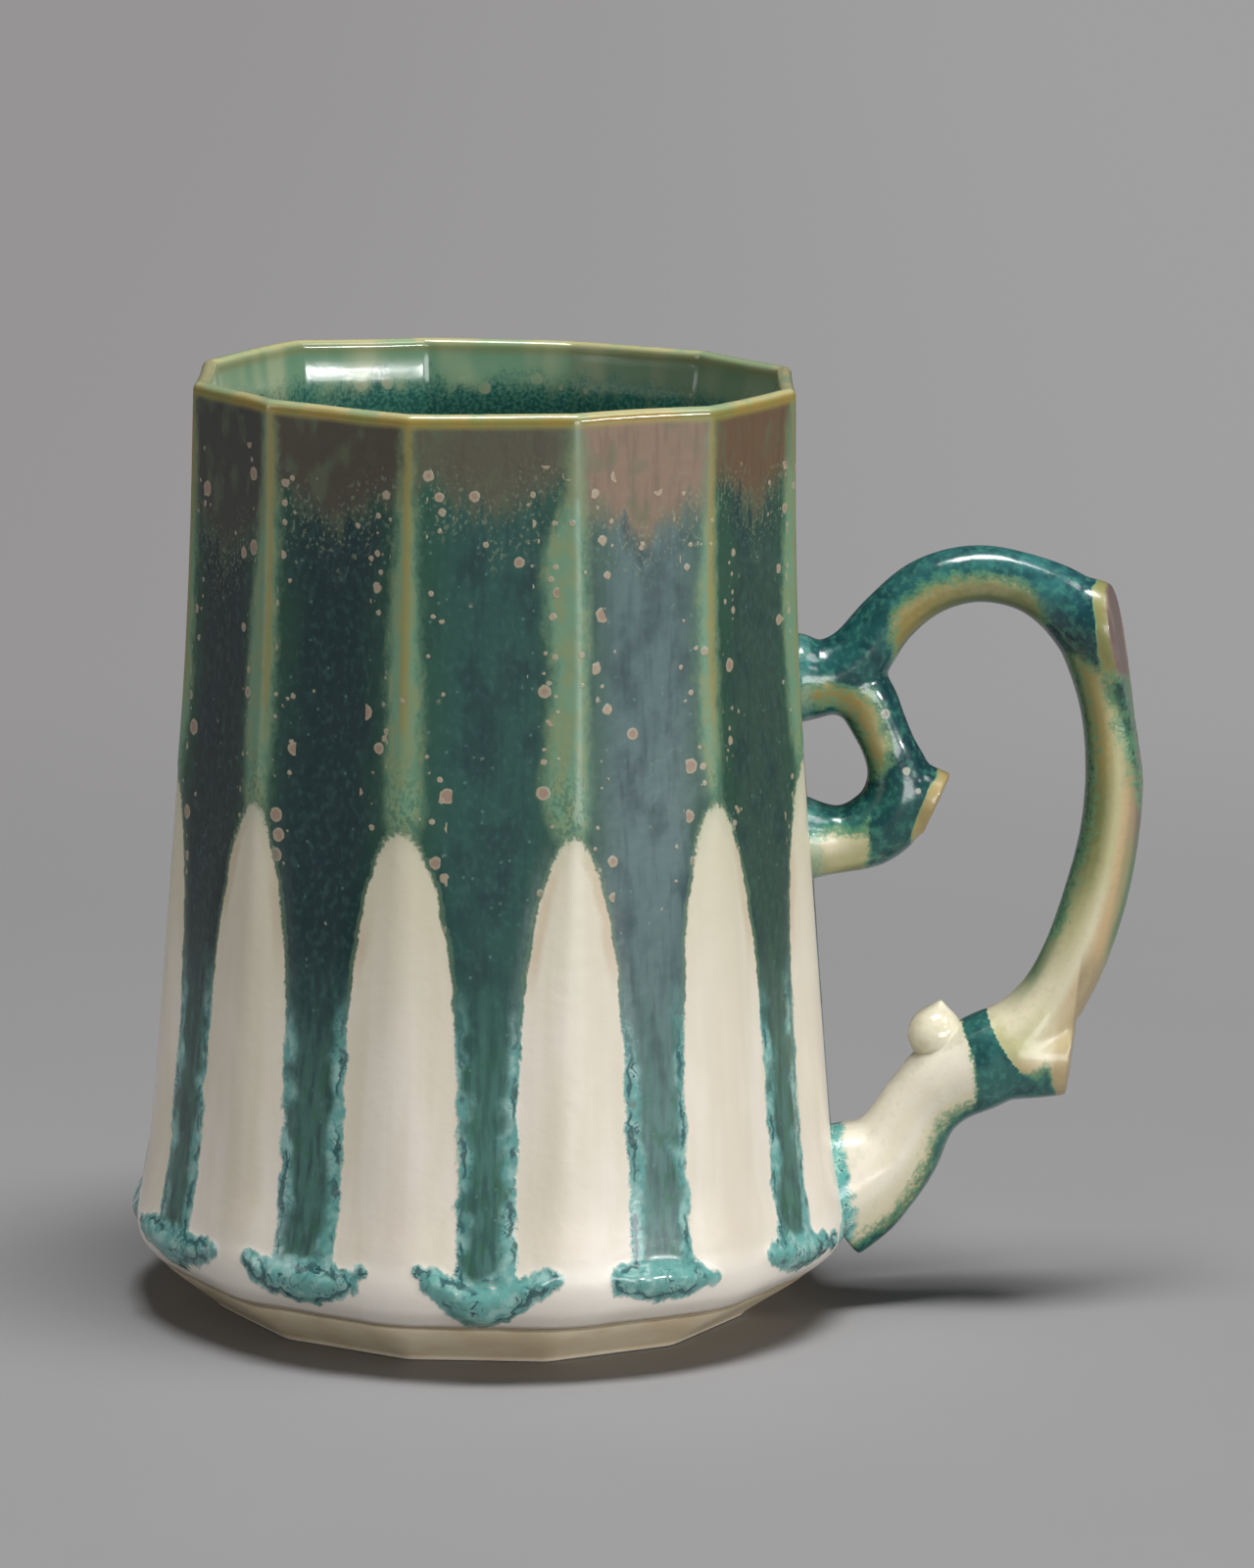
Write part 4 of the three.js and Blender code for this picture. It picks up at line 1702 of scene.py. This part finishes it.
@dataclass
class HandlePaint:
    """Lays the glaze of the handle on its skin, as fields and colours of the mesh.

    Attributes:
        limbs: each limb with its paint.
        ends: the pruned ends.
        outline: the body's outline.
        fineness: step along a limb at which points are placed, in stations.
        spur_band: ends of the ragged teal band under the spur, x and z, and its half width.
        spots: place and radius of the large crystals on the twig.
    """

    limbs: tuple[tuple[Limb, LimbPaint], ...]
    ends: tuple[PrunedEnd, ...]
    outline: BodyOutline
    fineness: float = 0.05
    spur_band: tuple[float, float, float, float, float] = (83.5, 36.0, 73.0, 29.6, 2.0)
    spots: Table = (
        (54.8, -3.6, 84.8, 0.8), (58.0, -4.4, 77.0, 0.75), (59.6, -4.4, 74.2, 0.5),
        (56.2, -4.0, 80.4, 0.4),
    )

    def place_on(
        self, limb: Limb, points: Array
    ) -> tuple[Array, Array, Array, Array]:
        """Where each point lies on a limb.

        Args:
            limb: the limb.
            points: the points.

        Returns:
            The station number, the place across, the angle round the limb, and the distance
            from the centre line in half widths.
        """
        stops = np.arange(0, limb.last + self.fineness / 2, self.fineness)
        stops = np.minimum(stops, limb.last)
        centres = np.array([limb.centre(stop) for stop in stops])
        headings = np.array([limb.heading(stop) for stop in stops])
        widths = np.array([limb.half_widths(stop)[0] for stop in stops])
        nearest = np.zeros(len(points), int)
        for start in range(0, len(points), 8000):
            part = points[start:start + 8000]
            gap = ((part[:, None, 0] - centres[None, :, 0]) ** 2
                   + (part[:, None, 2] - centres[None, :, 1]) ** 2)
            nearest[start:start + 8000] = (gap / widths[None, :] ** 2).argmin(1)
        offset = points[:, [0, 2]] - centres[nearest]
        heading = headings[nearest]
        outward = -offset[:, 0] * heading[:, 1] + offset[:, 1] * heading[:, 0]
        width = widths[nearest]
        angle = np.arctan2(-points[:, 1], outward)
        reach = np.sqrt((offset ** 2).sum(1) + points[:, 1] ** 2) / width
        return stops[nearest], np.clip(outward / width, -1.2, 1.2), angle, reach

    @staticmethod
    def streaks(along: Array, angle: Array) -> Array:
        """Soft streaks that run along a limb.

        Args:
            along: station number of each point.
            angle: its angle round the limb.

        Returns:
            The streaks, from 0 to 1.
        """
        total = np.zeros(len(along))
        for turns, pace, start in ((3, 0.9, 0.3), (5, 0.6, 1.7), (8, 1.3, 4.1), (13, 0.8, 2.2)):
            total += np.sin(turns * angle + start + 1.2 * np.sin(pace * along + start)) / turns
        return 0.5 + 0.62 * total

    def lay(self, handle: Piece) -> None:
        """Stores the fields and colours that the glaze reads.

        Args:
            handle: the handle, still in one piece.
        """
        points = points_of(handle)
        layers = []
        for limb, paint in self.limbs:
            along, across, angle, reach = self.place_on(limb, points)
            stations = np.arange(limb.last)
            width = [limb.half_widths(stop)[0] for stop in stations]
            streak = self.streaks(along, angle)
            teal = paint.teal(along, across) * np.interp(along, stations, width)
            layers.append((reach, teal, *paint.colours(along, across + 0.35 * (streak - 0.5)),
                           streak))
        branch, twig = layers
        share = ease(twig[0] - branch[0], -0.22, 0.22)
        teal, thin, thick, streak = ((first.T * share + second.T * (1 - share)).T
                                     for first, second in zip(branch[1:], twig[1:]))
        teal = np.maximum(teal, self.under_spur(points))
        for end in self.ends:
            gap = points - np.array(end.point)
            depth = -(gap @ (np.array(end.normal) / np.linalg.norm(end.normal)))
            near = np.linalg.norm(gap, axis=1)
            wavy = depth + 1.2 * (streak - 0.5)
            rim = ease(near, end.fade, end.fade - 4) * ease(wavy, 2.7, 1.3)
            face = ease(near, 2 * end.fade, 2 * end.fade - 6) * ease(depth, 0.5, 0.15)
            for amount, colour in ((rim, end.rim), (face, end.face)):
                thin = thin * (1 - amount[:, None]) + np.array(colour) * amount[:, None]
            teal = teal * (1 - rim) - 3 * rim
        _, radius, wall = self.outline.beside(points)
        write_fields(handle, teal=np.clip(teal, -6, 6), streak=streak,
                     spot=self.on_spots(points), from_wall=np.clip(radius - wall, -2, 20),
                     thin=thin, thick=thick)

    def under_spur(self, points: Array) -> Array:
        """How deep each point lies inside the ragged band under the spur.

        Args:
            points: the points.

        Returns:
            The depth, below zero outside.
        """
        x, z, end_x, end_z, half = self.spur_band
        start, along = np.array((x, z)), np.array((end_x - x, end_z - z))
        offset = points[:, [0, 2]] - start
        part = np.clip(offset @ along / (along @ along), 0, 1)
        return half - np.linalg.norm(offset - part[:, None] * along, axis=1)

    def on_spots(self, points: Array) -> Array:
        """How deep each point lies inside a large crystal, on both sides of the handle."""
        return np.maximum(-3.0, np.max([radius - np.linalg.norm(points - (x, y * side, z), axis=1)
                                        for x, y, z, radius in self.spots
                                        for side in (1, -1)], axis=0))


class BranchGlaze(GlazeBench):
    """Gloss glaze of the handle, teal where it is thick and olive to cream where it is thin.

    Attributes:
        deep: darkest blotches of the teal.
        light: its lightest ones.
        sage: line between the teal and the thin glaze.
        turquoise: pools at the wall.
        pale: lightest parts of the pools.
        ink: hairlines in them.
        crystal: rim of the large crystals.
        heart: middle of the large crystals.
    """

    deep: Colour = shade(12, 44, 54)
    light: Colour = shade(84, 156, 132)
    sage: Colour = shade(100, 148, 108)
    turquoise: Colour = shade(96, 164, 158)
    pale: Colour = shade(150, 196, 184)
    ink: Colour = shade(20, 56, 66)
    crystal: Colour = shade(172, 172, 158)
    heart: Colour = shade(140, 130, 124)

    def thin(self) -> Socket:
        """Streaks the thin glaze along the limb.

        Returns:
            The colour.
        """
        fine = self.noise(0.8, 3.0, start=7)
        cloud = self.noise(3.0, 2.0, start=13)
        level = self.plus(self.field("streak"), self.swing(cloud, 0.5),
                          self.swing(fine, 0.35))
        return self.coats(
            self.colour_field("thin"),
            (shade(112, 122, 88), (level, 0.55, 0.95), 0.22),
            (shade(210, 196, 156), (level, 0.45, 0.1), 0.22),
            (shade(128, 104, 76), (fine, 0.54, 0.7), 0.08))

    def thick(self) -> Socket:
        """Colour of the thick teal."""
        return self.coats(
            self.colour_field("thick"),
            (self.deep, (self.noise(3.2, 2.0, start=29), 0.42, 0.66), 0.6),
            (self.light, (self.noise(1.1, 2.0, start=19), 0.44, 0.74), 0.34))

    def mix(self) -> bpy.types.Material:
        """Lays the layers of the handle's glaze.

        Returns:
            The glaze.
        """
        ragged = self.noise(1.7, 3.0, start=31)
        fine = self.noise(0.55, 2.0, start=37)
        swirl = self.noise(2.0, 1.6, start=43, twist=1.4)
        depth = self.plus(self.field("teal"), self.swing(ragged, 3.4),
                          self.swing(fine, 1.2))
        teal = self.step(depth, -0.6, 0.9)
        wall = self.plus(self.field("from_wall"), self.swing(ragged, 2.6))
        wet = self.times((wall, 2.4, 1.2),
                         self.number((self.axis("Z"), 40, 30), 0.3, 1.0))
        water = self.coats(
            self.turquoise, (self.pale, (ragged, 0.42, 0.6)),
            (shade(52, 116, 116), (swirl, 0.54, 0.66), 0.6))
        spot = self.plus(self.field("spot"), self.swing(fine, 0.3))
        colour = self.coats(
            self.thin(), (self.thick(), teal),
            (self.sage, self.line(depth, 0.2, 1.4), (fine, 0.3, 0.56), 0.65),
            (water, wet),
            (self.ink, self.line(swirl, 0.47, 0.03), wet, (ragged, 0.42, 0.52), 0.9),
            (self.crystal, (spot, 0.0, 0.15), 0.85),
            (self.heart, (spot, 0.32, 0.45), 0.7))
        relief = self.plus(self.times(self.noise(2.2, 2.0, start=47), 0.8),
                           self.times((depth, -0.3, 0.8), 0.35))
        self.set(Coat_Weight=0.35, Coat_Roughness=0.08)
        return self.finish(colour, self.number(wet, self.number(teal, 0.33, 0.2), 0.1),
                           relief, 0.09)


@dataclass
class BranchHandle:
    """Handle in the form of a pruned branch with a side twig.

    Attributes:
        outline: the body's outline, into which the roots run.
        grain: size of the fine mesh's faces.
        swell: how much wider the limbs are drawn, which the smoothing takes off.
        softening: how often the joints are smoothed before the pruning.
        wall_bite: how far the roots reach into the wall.
        branch: the long limb from the upper root to the lower one.
        twig: the side limb from the upper root back to the wall.
        leader: the cut at the top of the grip.
        spur: the cut at its lower end.
        knob: the cut on the twig.
        borders: where the handle is parted, as a limb and station numbers.
        nodes: the CAD nodes, each listed with a glaze name that is not applied; all pieces get the
            one glaze.
    """

    outline: BodyOutline
    grain: float = 0.32
    swell: float = 0.12
    softening: int = 26
    wall_bite: float = 1.1
    branch: Limb = field(default_factory=lambda: Limb((
        (42.0, 89.0, 6.4), (46.5, 89.3, 5.2), (50.5, 91.8, 4.6), (54.8, 97.5, 4.0),
        (60.2, 102.2, 4.0), (67.0, 104.2, 3.9), (74.0, 103.1, 3.9), (79.2, 100.5, 4.6),
        (82.7, 97.0, 5.0), (84.4, 92.0, 4.3), (86.0, 85.5, 3.9), (87.0, 77.0, 4.0),
        (86.6, 68.0, 4.1), (84.9, 59.0, 4.4), (82.1, 50.0, 4.5), (79.0, 43.8, 4.7),
        (74.9, 38.2, 6.0), (70.0, 35.0, 6.6), (64.6, 31.9, 6.1), (61.0, 27.9, 5.6),
        (57.4, 21.6, 6.6, 6.2), (53.0, 18.0, 8.6, 7.2), (48.0, 15.0, 9.6, 8.2),
    )))
    twig: Limb = field(default_factory=lambda: Limb((
        (47.5, 89.2, 4.6), (51.6, 87.0, 4.3), (54.0, 82.7, 3.8), (55.7, 79.0, 3.7),
        (57.0, 75.2, 4.5), (56.3, 70.6, 5.0), (53.2, 67.6, 5.0), (49.2, 66.3, 4.6),
        (46.2, 66.2, 5.2), (43.0, 66.2, 6.4),
    )))
    leader: PrunedEnd = field(default_factory=lambda: PrunedEnd(
        ((79.6, 99.9, 4.7), (84.0, 97.2, 5.9), (86.6, 91.0, 4.8), (86.8, 85.0, 3.6)),
        (85.8, 0, 102.4), (0.96, -0.2, 0.19), 40, 14, shade(112, 92, 88), shade(130, 128, 76)))
    spur: PrunedEnd = field(default_factory=lambda: PrunedEnd(
        ((73.6, 36.2, 6.6), (78.4, 35.8, 5.8), (86.0, 36.2, 4.9)),
        (82.2, 0, 36.0), (0.98, -0.1, -0.1), 5.9, 9, shade(156, 140, 108), shade(176, 158, 118)))
    knob: PrunedEnd = field(default_factory=lambda: PrunedEnd(
        ((55.8, 74.2, 4.4), (60.5, 72.4, 4.5), (68.0, 69.4, 4.4)),
        (62.5, 0, 71.7), (0.9, -0.12, -0.38), 9, 9, shade(160, 138, 94), shade(166, 148, 98)))
    borders: tuple[tuple[Side, tuple[float, ...]], ...] = (
        (Side.BRANCH, (3.0, 6.7, 10.4, 14.8, 17.9)), (Side.TWIG, (2.3, 3.3, 5.7)),
    )
    nodes: tuple[tuple[str, str], ...] = (
        ("upper_root", "branch_teal_glaze"), ("handle_bow", "branch_teal_glaze"),
        ("pruned_knuckle", "branch_olive_glaze"), ("handle_grip", "branch_olive_glaze"),
        ("pruned_elbow", "branch_cream_glaze"), ("lower_root", "branch_cream_glaze"),
        ("twig_stem", "branch_teal_glaze"), ("pruned_knob", "branch_teal_glaze"),
        ("twig_root", "branch_cream_glaze"),
    )

    @property
    def ends(self) -> tuple[PrunedEnd, ...]:
        """The three ends that are cut."""
        return (self.leader, self.spur, self.knob)

    def limb(self, side: Side) -> Limb:
        """The limb that this side names."""
        return self.branch if side is Side.BRANCH else self.twig

    def grow(self) -> Piece:
        """Draws the limbs, makes them one skin and prunes it.

        Returns:
            The whole handle as one closed mesh.
        """
        stubs = [Limb(end.stub) for end in self.ends]
        parts = [limb.draw("limb", self.swell) for limb in (self.branch, self.twig, *stubs)]
        let_go()
        for part in parts:
            part.select_set(True)
        bpy.context.view_layer.objects.active = parts[0]
        bpy.ops.object.join()
        handle = parts[0]
        self.reskin(handle, self.softening)
        for end in self.ends:
            self.prune(handle, end)
        self.reskin(handle, 9)
        self.bed_roots(handle)
        return handle

    def reskin(self, handle: Piece, rounds: int) -> None:
        """Gives the handle one even skin and smooths it, as often as the rounds say."""
        use_modifier(handle, "REMESH", mode="VOXEL", voxel_size=self.grain * MM,
                     use_smooth_shade=True)
        use_modifier(handle, "SMOOTH", factor=0.5, iterations=rounds)

    @staticmethod
    def prune(handle: Piece, end: PrunedEnd) -> None:
        """Cuts one stub off flat, with a block that fills what lies beyond the cut.

        Args:
            handle: the handle.
            end: where it is cut.
        """
        let_go()
        outward = Vector(end.normal).normalized()
        bpy.ops.mesh.primitive_cube_add(
            size=2 * end.reach * MM,
            location=(Vector(end.point) + outward * end.reach) * MM,
            rotation=outward.to_track_quat("X", "Z").to_euler())
        block = bpy.context.object
        use_modifier(handle, "BOOLEAN", operation="DIFFERENCE", solver="EXACT", object=block)
        bpy.data.objects.remove(block, do_unlink=True)

    def bed_roots(self, handle: Piece) -> None:
        """Flattens what the roots have inside the wall, so that none of it shows inside.

        Args:
            handle: the handle.
        """
        points = points_of(handle)
        lean, radius, wall = self.outline.beside(points)
        stretch = np.maximum(radius, wall - self.wall_bite) / radius
        points[:, 0] = (points[:, 0] - lean) * stretch + lean
        points[:, 1] *= stretch
        place_points(handle, points)

    def split(self, handle: Piece) -> list[Piece]:
        """Parts the handle at the borders between its limbs and closes each piece.

        Args:
            handle: the whole handle.

        Returns:
            The closed pieces.
        """
        for side, where in ((side, where) for side, row in self.borders for where in row):
            limb = self.limb(side)
            (x, z), heading = limb.centre(where), limb.heading(where)
            middles = read_rows(handle.data.polygons, "center") / MM
            away = np.linalg.norm(middles - (x, 0, z), axis=1)
            with editing(handle, "FACE"):
                bpy.ops.mesh.select_all(action="DESELECT")
            handle.data.polygons.foreach_set("select", away < limb.half_widths(where)[0] * 1.6)
            with editing(handle, "FACE"):
                bpy.ops.mesh.bisect(plane_co=(x * MM, 0, z * MM),
                                    plane_no=(heading[0], 0, heading[1]))
                bpy.ops.mesh.select_mode(type="EDGE")
                bpy.ops.mesh.edge_split(type="EDGE")
        with editing(handle, "FACE"):
            bpy.ops.mesh.select_all(action="SELECT")
            bpy.ops.mesh.separate(type="LOOSE")
        pieces = [o for o in bpy.context.selected_objects if o.type == "MESH"]
        for piece in pieces:
            with editing(piece, "EDGE"):
                select_open_edges()
                bpy.ops.mesh.fill_holes(sides=0)
            smooth(piece, 50)
        return pieces

    def build(self, glaze: bpy.types.Material) -> None:
        """Builds the handle's pieces and hands them in, each for its own node.

        Args:
            glaze: the handle's glaze.
        """
        handle = self.grow()
        HandlePaint(((self.branch, BRANCH_PAINT), (self.twig, TWIG_PAINT)), self.ends,
                    self.outline).lay(handle)
        pieces = self.split(handle)
        middles = {name: sum(map(np.array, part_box(name))) / 2 for name, _ in self.nodes}
        if len(pieces) != len(self.nodes):
            log.warning("the handle came apart in %d pieces", len(pieces))
        for piece in pieces:
            points = points_of(piece) * MM
            middle = (points.min(0) + points.max(0)) / 2
            name = min(middles, key=lambda node: np.linalg.norm(middles[node] - middle))
            hand_in(piece, name, glaze)


@dataclass
class LeafBud:
    """Round bud with a drawn-out tip, seated on the lowest limb.

    Attributes:
        radius: radius of the ball.
        tip: how far the tip is drawn out.
        tip_spread: how wide it is, in degrees round the ball.
        at: middle of the ball.
        lean: how far it leans away from the mug, in degrees.
    """

    radius: float = 3.9
    tip: float = 1.3
    tip_spread: float = 11.5
    at: Place = (63.0, 0.0, 38.7)
    lean: float = 8.0

    @staticmethod
    def glaze() -> bpy.types.Material:
        """Mixes a glossy cream, darker and a little greener where it meets the limb: painted shade
        in the crease.

        Returns:
            The glaze.
        """
        bench = GlazeBench("bud_glaze")
        cloud = bench.noise(2.4, 2.0, start=3)
        height = bench.plus(bench.axis("Z"), bench.swing(cloud, 2.0))
        colour = bench.coats(
            shade(224, 218, 194), (shade(214, 206, 178), (cloud, 0.4, 0.62)),
            # painted shade: darker and greener at the foot of the bud, in the crease against the
            # limb
            (shade(170, 170, 130), (height, 37.6, 35.8), 0.55))
        bench.set(Coat_Weight=0.5, Coat_Roughness=0.03)
        return bench.finish(colour, bench.number(cloud, 0.16, 0.24), cloud, 0.08)

    def build(self) -> None:
        """Builds the bud and hands it in."""
        let_go()
        bpy.ops.mesh.primitive_uv_sphere_add(segments=64, ring_count=48, radius=self.radius * MM)
        bud = bpy.context.object
        points = points_of(bud)
        polar = np.degrees(np.arccos(np.clip(points[:, 2] / self.radius, -1, 1)))
        drawn = self.tip * np.exp(-np.hypot(polar, 3) / self.tip_spread)
        place_points(bud, points * (1 + drawn / self.radius)[:, None])
        with editing(bud):
            bpy.ops.mesh.select_all(action="SELECT")
            bpy.ops.transform.rotate(value=-math.radians(self.lean), orient_axis="Y",
                                     center_override=(0, 0, 0))
            bpy.ops.transform.translate(value=Vector(self.at) * MM)
        smooth(bud, 60)
        hand_in(bud, "leaf_bud", self.glaze())


# Scene


@dataclass
class Stage:
    """Plain floor that sweeps up into a backdrop, soft lamps and the camera.

    Attributes:
        floor_grey: colour of the floor.
        far_left: painted light that its far part glows with at the left.
        far_right: the painted light it glows with at the right, a little lighter.
        aim: point that the lamps face, in metres.
        lens: focal length, in millimetres as the sensor.
        sensor: width of the sensor.
        tilt_down: how far the camera looks down, in degrees.
        roll: how far it is rolled, in degrees.
        camera_at: its place in metres.
        room: colour of the light from the room.
        room_power: strength of that light.
    """

    floor_grey: Colour = field(default_factory=lambda: shade(154, 153, 154))
    far_left: Colour = field(default_factory=lambda: shade(150, 148, 149))
    far_right: Colour = field(default_factory=lambda: shade(160, 159, 160))
    aim: Place = (0.02, 0, 0.06)
    lens: float = 179.24
    sensor: float = 36.0
    tilt_down: float = 11.107
    roll: float = 1.03
    camera_at: Place = (0.01912, -1.068, 0.28324)
    room: Colour = (0.92, 0.95, 1.0, 1.0)
    room_power: float = 0.115

    def build_floor(self) -> None:
        """Floor plane whose far edge is drawn up into a backdrop."""
        let_go()
        bpy.ops.mesh.primitive_plane_add(size=6, location=(0, 0, 0))
        floor = bpy.context.object
        floor.name = "sweep"
        with editing(floor, "EDGE"):
            bpy.ops.mesh.select_all(action="DESELECT")
        self.select_back_edge(floor)
        with editing(floor, "EDGE"):
            bpy.ops.mesh.extrude_region_move(TRANSFORM_OT_translate={"value": (0, 0, 3.5)})
        self.select_back_edge(floor)
        with editing(floor, "EDGE"):
            bpy.ops.mesh.bevel(offset=1.4, segments=24)
        smooth(floor, 60)
        bench = GlazeBench("sweep_paper")
        grain = bench.noise(40.0, 3.0)
        darker = tuple(part * 0.985 for part in self.floor_grey[:3]) + (1.0,)
        tone = bench.coats(self.floor_grey, (darker, (grain, 0.3, 0.7)))
        bench.set(Specular_IOR_Level=0.1)
        floor.data.materials.append(bench.finish(tone, bench.number(grain, 0.8, 0.9), grain, 0.02))
        self.even_out(bench)

    @staticmethod
    def select_back_edge(floor: Piece) -> None:
        """Selects the edge where the floor meets the backdrop."""
        for edge in floor.data.edges:
            ends = [floor.data.vertices[k].co for k in edge.vertices]
            edge.select = all(end.y > 0 and abs(end.z) < 0.01 for end in ends)

    def even_out(self, bench: GlazeBench) -> None:
        """Shows the far floor as a glowing grey, a little lighter to the right: painted light, as
        a paper sweep with its own lamps gives.

        Args:
            bench: the nodes of the sweep's paper.
        """
        # painted light: the far floor glows grey, a little lighter towards the right
        grey = bench.coats(self.far_left, (self.far_right, (bench.axis("X"), -170, 190)))
        seen = bench.node("LightPath").outputs["Is Camera Ray"]
        far = bench.times((bench.axis("Y"), 60, 480), seen)
        paper = bench.node("Emission", {"Color": grey}).outputs["Emission"]
        mix = bench.node("MixShader", {0: far, 1: bench.surface.outputs["BSDF"], 2: paper})
        bench.feed(bench.output.inputs["Surface"], mix.outputs["Shader"])

    def build_lights(self) -> None:
        """Overhead strip and a weak box for all, lamps kept off the paper, and a dim room."""
        mug = bpy.data.collections.new("lit_alone")
        for piece in bpy.data.objects:
            if piece.name.startswith("glazed_"):
                mug.objects.link(piece)
        for lit, name, at, size, watts in (
            (None, "overhead_strip", (0.1, -0.18, 1.3), (0.72, 0.36), 17.3),
            (None, "right_box", (1.25, -0.75, 0.5), (0.8, 1.0), 0.7),
            (mug, "front_box", (0.8, -1.3, 0.2), (0.9, 0.5), 10.2),
            (mug, "glint_box", (1.0, -0.84, 0.9), (0.26, 0.2), 1.0),
            (mug, "low_glint", (1.12, -0.67, 0.366), (0.15, 0.11), 3.6),
            (mug, "bow_glint", (0.77, -0.18, 1.06), (0.5, 0.26), 2.3),
            (mug, "left_card", (-1.42, -0.25, 0.5), (0.7, 1.0), 4.8),
        ):
            lamp = bpy.data.lights.new(name, "AREA")
            lamp.shape = "RECTANGLE"
            lamp.size, lamp.size_y = size
            lamp.energy = watts
            holder = bpy.data.objects.new(name, lamp)
            holder.location = at
            aim = Vector(self.aim) - Vector(at)
            holder.rotation_euler = aim.to_track_quat("-Z", "Y").to_euler()
            holder.light_linking.receiver_collection = lit
            bpy.context.scene.collection.objects.link(holder)
        world = bpy.data.worlds.new("room")
        world.use_nodes = True
        background = world.node_tree.nodes["Background"]
        background.inputs["Color"].default_value = self.room
        background.inputs["Strength"].default_value = self.room_power
        bpy.context.scene.world = world

    def build_camera(self) -> None:
        """Camera at the photograph's place, tilt and roll."""
        data = bpy.data.cameras.new("camera")
        data.lens = self.lens
        data.sensor_width = self.sensor
        camera = bpy.data.objects.new("camera", data)
        turn = (Matrix.Rotation(math.radians(90 - self.tilt_down), 4, "X")
                @ Matrix.Rotation(math.radians(self.roll), 4, "Z"))
        camera.matrix_world = Matrix.Translation(self.camera_at) @ turn
        bpy.context.scene.collection.objects.link(camera)
        bpy.context.scene.camera = camera

    def build(self) -> None:
        """Builds the floor, the lamps and the camera."""
        self.build_floor()
        self.build_lights()
        self.build_camera()
        bpy.context.scene.view_settings.view_transform = "Standard"


def main() -> None:
    """Builds the mug and its stage, and reports each piece."""
    logging.basicConfig(level=logging.INFO, format="%(name)s: %(message)s")
    outline = BodyOutline()
    wall = GlazedWall(outline).build()
    hand_in(wall, "body_wall", WallGlaze("wall_glaze").mix())
    foot = GlazedFoot(outline).build()
    hand_in(foot, "foot_and_floor", FootGlaze("foot_glaze").mix())
    BranchHandle(outline).build(BranchGlaze("branch_glaze").mix())
    LeafBud().build()
    Stage().build()


if __name__ == "__main__":
    main()
